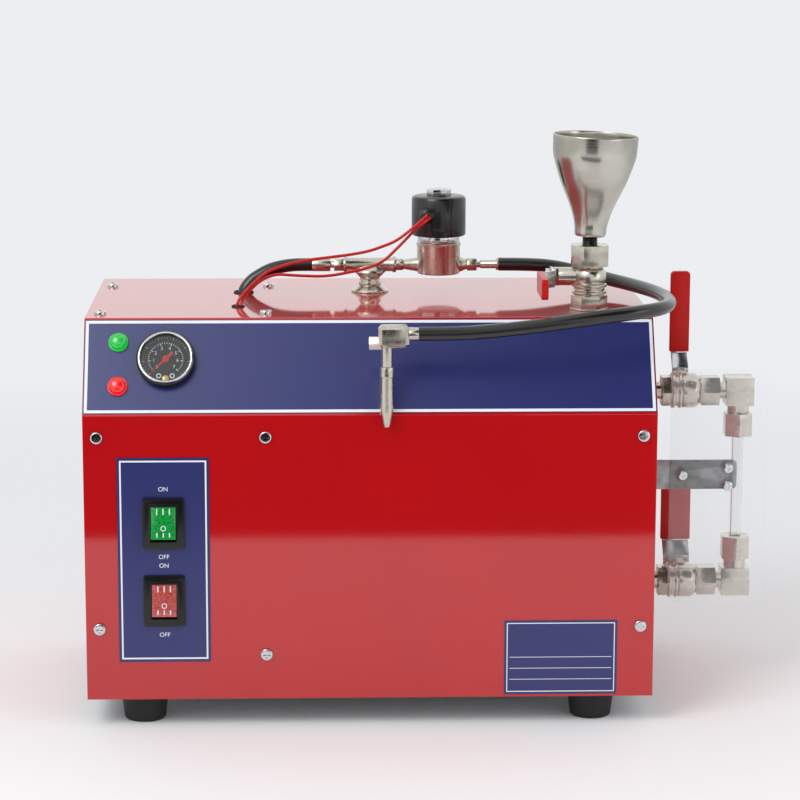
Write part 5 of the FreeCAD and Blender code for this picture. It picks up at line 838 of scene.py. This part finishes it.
PLATE_FACE = 0.6
RATING_FACE = 0.4
SWITCH_X = 58.0
RATING_X = 351.0
border = settle(ink_frame(417.6, 72.1, 2.2), on_panel(210.0, 38.33, 0.4), (PANEL_TILT, 0, 0))
plate_line = settle(ink_frame(63.6, 150.0, 1.2), at(SWITCH_X, -PLATE_FACE, 106.0), (UPRIGHT, 0, 0))
rating_line = settle(ink_frame(80.4, 53.0, 0.7), at(RATING_X, -RATING_FACE, 30.3), (UPRIGHT, 0, 0))
print_pieces = [border, plate_line, rating_line]
for rule_z in (13.5, 22.0, 30.5):
    rule = thicken(ink_rectangle(76.0, 0.4))
    print_pieces.append(settle(rule, at(RATING_X, -RATING_FACE, rule_z), (UPRIGHT, 0, 0)))
for words, caption_z in (("ON", 159.5), ("OFF", 108.6), ("ON", 102.0), ("OFF", 49.5)):
    caption = ink_text(words, 3.2)
    print_pieces.append(settle(caption, at(SWITCH_X, -PLATE_FACE - INK / 2, caption_z), (UPRIGHT, 0, 0)))
dress(join(print_pieces), "white_print", WHITE_INK)

# %% [markdown]
# ## The gauge's face
# The dial is painted black, with two scales printed in white: fine strokes near the rim, and an
# arc of stronger strokes with the numbers inside it. A brass screw at the bottom sets the needle.
# Two small rings beside it mark the zero stop. A rolled ring of bright steel holds the window.

# %% Strokes and numbers of the scales
DIAL_X = 60.3
DIAL_UP = 42.8
DIAL_PROUD = 3.4
SCALE_START = math.radians(225)
SCALE_SWEEP = math.radians(270)
BOTTOM = math.radians(-90)
NUMBERS = 8


def on_dial(radius, angle, proud=DIAL_PROUD):
    """A place on the dial, by its radius and its angle from the right, in the panel's plane."""
    return on_panel(DIAL_X + radius * math.cos(angle), DIAL_UP + radius * math.sin(angle), proud)


def turned_on_dial(angle):
    """The turn of a mark that lies on the dial and points along an angle."""
    spin = Matrix.Rotation(PANEL_TILT, 4, "X") @ Matrix.Rotation(angle, 4, "Z")
    return spin.to_euler()


def stroke(radius, angle, length, width):
    """One printed stroke, its middle at a radius."""
    return settle(thicken(ink_rectangle(length, width)), on_dial(radius, angle), turned_on_dial(angle))


marks = []
for step in range(36):
    angle = SCALE_START - SCALE_SWEEP * step / 35
    main = step % 5 == 0
    marks.append(stroke(12.0 if main else 12.5, angle, 2.2 if main else 1.1, 0.55 if main else 0.4))
    marks.append(stroke(16.7, angle, 2.0 if main else 0.9, 0.3 if main else 0.16))
for number in range(NUMBERS):
    angle = SCALE_START - SCALE_SWEEP * number / (NUMBERS - 1)
    figure = ink_text(str(number), 2.6)
    marks.append(settle(figure, on_dial(8.7, angle, DIAL_PROUD + INK), (PANEL_TILT, 0, 0)))
dress(join(marks), "dial_scale", WHITE_INK)

# %% Rings, screw and rim
STOP_SIDE = math.atan2(-13.1, 4.9)


def ring_on_dial(name, rings, place, material):
    """A small turned part: a profile of (radius, height) drawn up on the dial."""
    turned = settle(draw_up(rings, 48), place, (PANEL_TILT, 0, 0))
    only(turned)
    bpy.ops.object.shade_smooth_by_angle(angle=math.radians(40))
    return dress(turned, name, material)


for name, angle in (("left_stop_ring", math.pi - STOP_SIDE), ("right_stop_ring", STOP_SIDE)):
    ring_on_dial(name, [(1.1, 0.0), (1.1, 0.5), (1.9, 0.5), (1.9, 0.0)], on_dial(14.0, angle), WHITE_INK)
NEEDLE_SCREW = ((0.3, 0.6), (1.9, 0.6), (2.4, 0.3), (2.4, 0.0))
ring_on_dial("needle_screw", NEEDLE_SCREW, on_dial(15.0, BOTTOM), BARE_BRASS)
RIM = ((18.3, 7.3), (18.4, 8.0), (18.9, 8.3), (19.5, 8.3), (20.3, 7.9), (20.9, 7.2), (21.1, 6.4))
ring_on_dial("bezel_ring", RIM, on_panel(DIAL_X, DIAL_UP), BRIGHT_PLATE)

# %% [markdown]
# ## Pilot lamps
# A pilot lamp's jewel is a low dome of tinted plastic with a grid of facets pressed into it, so
# that the lamp behind it looks bright from any side. It sits in a collar of the same plastic.

# %% Lamp jewels
LAMP_X = 25.3
JEWEL = ((6.1, 1.8), (6.1, 3.6), (5.7, 5.1), (4.5, 6.2), (2.6, 6.9), (0.05, 7.1))
COLLAR = ((5.0, -20.0), (5.0, 0.4), (7.3, 0.4), (7.3, 2.0), (6.9, 2.6), (6.3, 2.6), (6.2, 1.6))


def make_lamp(name, up, jewel, node):
    """A jewel and its collar on the sloping panel."""
    dome = settle(draw_up(JEWEL, 40), on_panel(LAMP_X, up), (PANEL_TILT, 0, 0))
    only(dome)
    bpy.ops.object.shade_smooth_by_angle(angle=math.radians(50))
    collar = settle(draw_up(COLLAR, 40), on_panel(LAMP_X, up), (PANEL_TILT, 0, 0))
    soften(collar, 0.2)
    dress(collar, name + "_collar", jewel, "machine", (node,))
    return dress(dome, name + "_jewel", jewel)


make_lamp("green_lamp", 57.0, GREEN_JEWEL, "green_lamp")
make_lamp("red_lamp", 22.7, RED_JEWEL, "red_lamp")

# %% [markdown]
# ## Marks on the rockers
# Each rocker has bars at its two ends and a ring below the middle, pressed in and filled white.
# They lie on the rocker's faces, so they tilt with it.

# %% Rocker marks
ROCKER_TILT = math.radians(7)
ROCKER_PIVOT = 2.5
ROCKER_FACE = -7.35


def make_rocker_marks(name, centre_z, body):
    """Bars and a ring, drawn on an untilted rocker and then tilted with it about its pivot."""
    slant = math.atan2(1.3, 11.9)
    parts = []
    for x in (-4.6, 0.0, 4.6):
        for end, length in ((1, 4.6), (-1, 3.2)):
            bar = thicken(ink_rectangle(0.8, length))
            z = end * 8.6
            y = ROCKER_FACE + 0.6 - abs(z) * math.tan(slant) - 0.02
            parts.append(settle(bar, Vector((x, y, z)) * MM, (UPRIGHT + end * slant, 0, 0)))
    bpy.ops.mesh.primitive_torus_add(major_radius=1.7 * MM, minor_radius=0.32 * MM, major_segments=28,
                                     minor_segments=6)
    ring = bpy.context.object
    z = -3.8
    y = ROCKER_FACE + 0.6 - abs(z) * math.tan(slant)
    parts.append(settle(ring, Vector((0, y, z)) * MM, (UPRIGHT - slant, 0, 0)))
    marks = join(parts)
    settle(marks, at(SWITCH_X, ROCKER_PIVOT, centre_z), (-ROCKER_TILT, 0, 0))
    return dress(marks, name, WHITE_INK, body)


make_rocker_marks("green_rocker_marks", 134.0, "green_button")
make_rocker_marks("red_rocker_marks", 75.6, "red_button")

# %% [markdown]
# ## Floor, light and camera
# The machine stands on a white bench. A large soft light hangs over its left shoulder, a weaker
# one stands at its right, and a wide low one behind it is mirrored in the lid. Dark cards, seen
# only in reflections, put depth in the paint and the metal: a glossy panel with nothing dark to
# mirror looks chalky.

# %% Floor and cards
bpy.ops.mesh.primitive_plane_add(size=24, location=(0, 0, cad_bounds[0].z))
floor = settle(bpy.context.object, bpy.context.object.location)
floor.name = "bench"
bench, bench_tree, bench_shader, bench_place = start_material("pale bench top", [
    ("Roughness", 0.9), ("Specular IOR Level", 0.05)])
away = add_node(bench_tree, "ShaderNodeSeparateXYZ", links=[("Vector", bench_place)])
fade = add_node(bench_tree, "ShaderNodeMapRange", [("From Min", 0.1), ("From Max", 1.2)],
                [("Value", away.outputs["Y"])])
bench_colour = add_node(bench_tree, "ShaderNodeMixRGB",
                        [("Color1", linear("#FBFBFC")), ("Color2", linear("#E6E9EB"))],
                        [("Fac", fade.outputs["Result"])])
bench_tree.links.new(bench_colour.outputs["Color"], bench_shader.inputs["Base Color"])
haze = add_node(bench_tree, "ShaderNodeEmission", [("Color", linear("#ECEEF1")), ("Strength", 1.0)])
far = add_node(bench_tree, "ShaderNodeMapRange", [("From Min", 0.2), ("From Max", 1.3)],
               [("Value", away.outputs["Y"])])
looked_at = add_node(bench_tree, "ShaderNodeLightPath")
seen_far = add_node(bench_tree, "ShaderNodeMath", [("operation", "MULTIPLY")])
bench_tree.links.new(looked_at.outputs["Is Camera Ray"], seen_far.inputs[0])
bench_tree.links.new(far.outputs["Result"], seen_far.inputs[1])
bench_mix = add_node(bench_tree, "ShaderNodeMixShader", links=[("Fac", seen_far.outputs[0])])
bench_tree.links.new(bench_shader.outputs[0], bench_mix.inputs[1])
bench_tree.links.new(haze.outputs[0], bench_mix.inputs[2])
bench_tree.links.new(bench_mix.outputs[0], bench_tree.nodes["Material Output"].inputs["Surface"])
floor.data.materials.append(bench)


def dark_card(name, width, height, place, turn):
    """A black card that only reflections see."""
    bpy.ops.mesh.primitive_plane_add(size=1)
    card = bpy.context.object
    card.name = name
    card.scale = (width, height, 1)
    settle(card, place, turn)
    material, _, shader, _ = start_material(name + " felt",
                                            [("Roughness", 1.0), ("Specular IOR Level", 0.0)])
    shader.inputs["Base Color"].default_value = linear("#050505")
    card.data.materials.append(material)
    card.visible_camera = False
    card.visible_diffuse = False
    card.visible_shadow = False
    card.visible_transmission = False


dark_card("low_card", 0.80, 0.16, (-0.155, -0.72, 0.08), (UPRIGHT, 0, 0))
dark_card("high_card", 1.8, 1.6, (0.9, -1.06, 1.43), (math.radians(50), math.radians(30), 0))
dark_card("metal_card", 0.75, 0.45, (-0.225, -1.25, 0.325), (UPRIGHT, 0, 0))

# %% Lights and world


def soft_light(name, place, size, watts, aim):
    """A soft box of (width, height) in metres, aimed at a place."""
    bpy.ops.object.light_add(type="AREA", location=place)
    lamp = bpy.context.object
    lamp.name = name
    lamp.data.shape = "RECTANGLE"
    lamp.data.size, lamp.data.size_y = size
    lamp.data.energy = watts
    lamp.rotation_euler = (Vector(aim) - Vector(place)).to_track_quat("-Z", "Y").to_euler()


soft_light("key", (-1.1, -1.3, 1.7), (1.1, 1.1), 18, (0, 0, 0.15))
soft_light("fill", (1.4, -1.2, 0.9), (1.2, 1.2), 5, (0.1, 0, 0.15))
soft_light("back", (0.0, 1.6, 0.9), (2.2, 0.8), 0.8, (0, 0, 0.3))
world = bpy.data.worlds.new("studio")
bpy.context.scene.world = world
world.use_nodes = True
sky = world.node_tree
background = sky.nodes["Background"]
background.inputs["Color"].default_value = linear("#F6F7F8")
background.inputs["Strength"].default_value = 0.75
mirrored = add_node(sky, "ShaderNodeBackground", [("Color", linear("#F6F8F9")), ("Strength", 1.0)])
seen = add_node(sky, "ShaderNodeBackground", [("Color", linear("#EAEDEF")), ("Strength", 1.0)])
path = add_node(sky, "ShaderNodeLightPath")
in_metal = add_node(sky, "ShaderNodeMixShader", links=[("Fac", path.outputs["Is Glossy Ray"])])
sky.links.new(background.outputs[0], in_metal.inputs[1])
sky.links.new(mirrored.outputs[0], in_metal.inputs[2])
through = add_node(sky, "ShaderNodeMath", [("operation", "MAXIMUM")])
sky.links.new(path.outputs["Is Camera Ray"], through.inputs[0])
sky.links.new(path.outputs["Is Transmission Ray"], through.inputs[1])
choose = add_node(sky, "ShaderNodeMixShader", links=[("Fac", through.outputs[0])])
sky.links.new(in_metal.outputs[0], choose.inputs[1])
sky.links.new(seen.outputs[0], choose.inputs[2])
sky.links.new(choose.outputs[0], sky.nodes["World Output"].inputs["Surface"])

# %% Camera
CAMERA_PLACE = (-0.09282, -2.09337, 0.62390)
CAMERA_TURN = (79.160, -0.1375, -1.9037)
camera_data = bpy.data.cameras.new("camera")
camera_data.sensor_width = 36.0
camera_data.lens = 123.7
camera = bpy.data.objects.new("camera", camera_data)
bpy.context.collection.objects.link(camera)
camera.location = CAMERA_PLACE
camera.rotation_euler = [math.radians(angle) for angle in CAMERA_TURN]
bpy.context.scene.camera = camera
bpy.context.scene.view_settings.view_transform = "Standard"
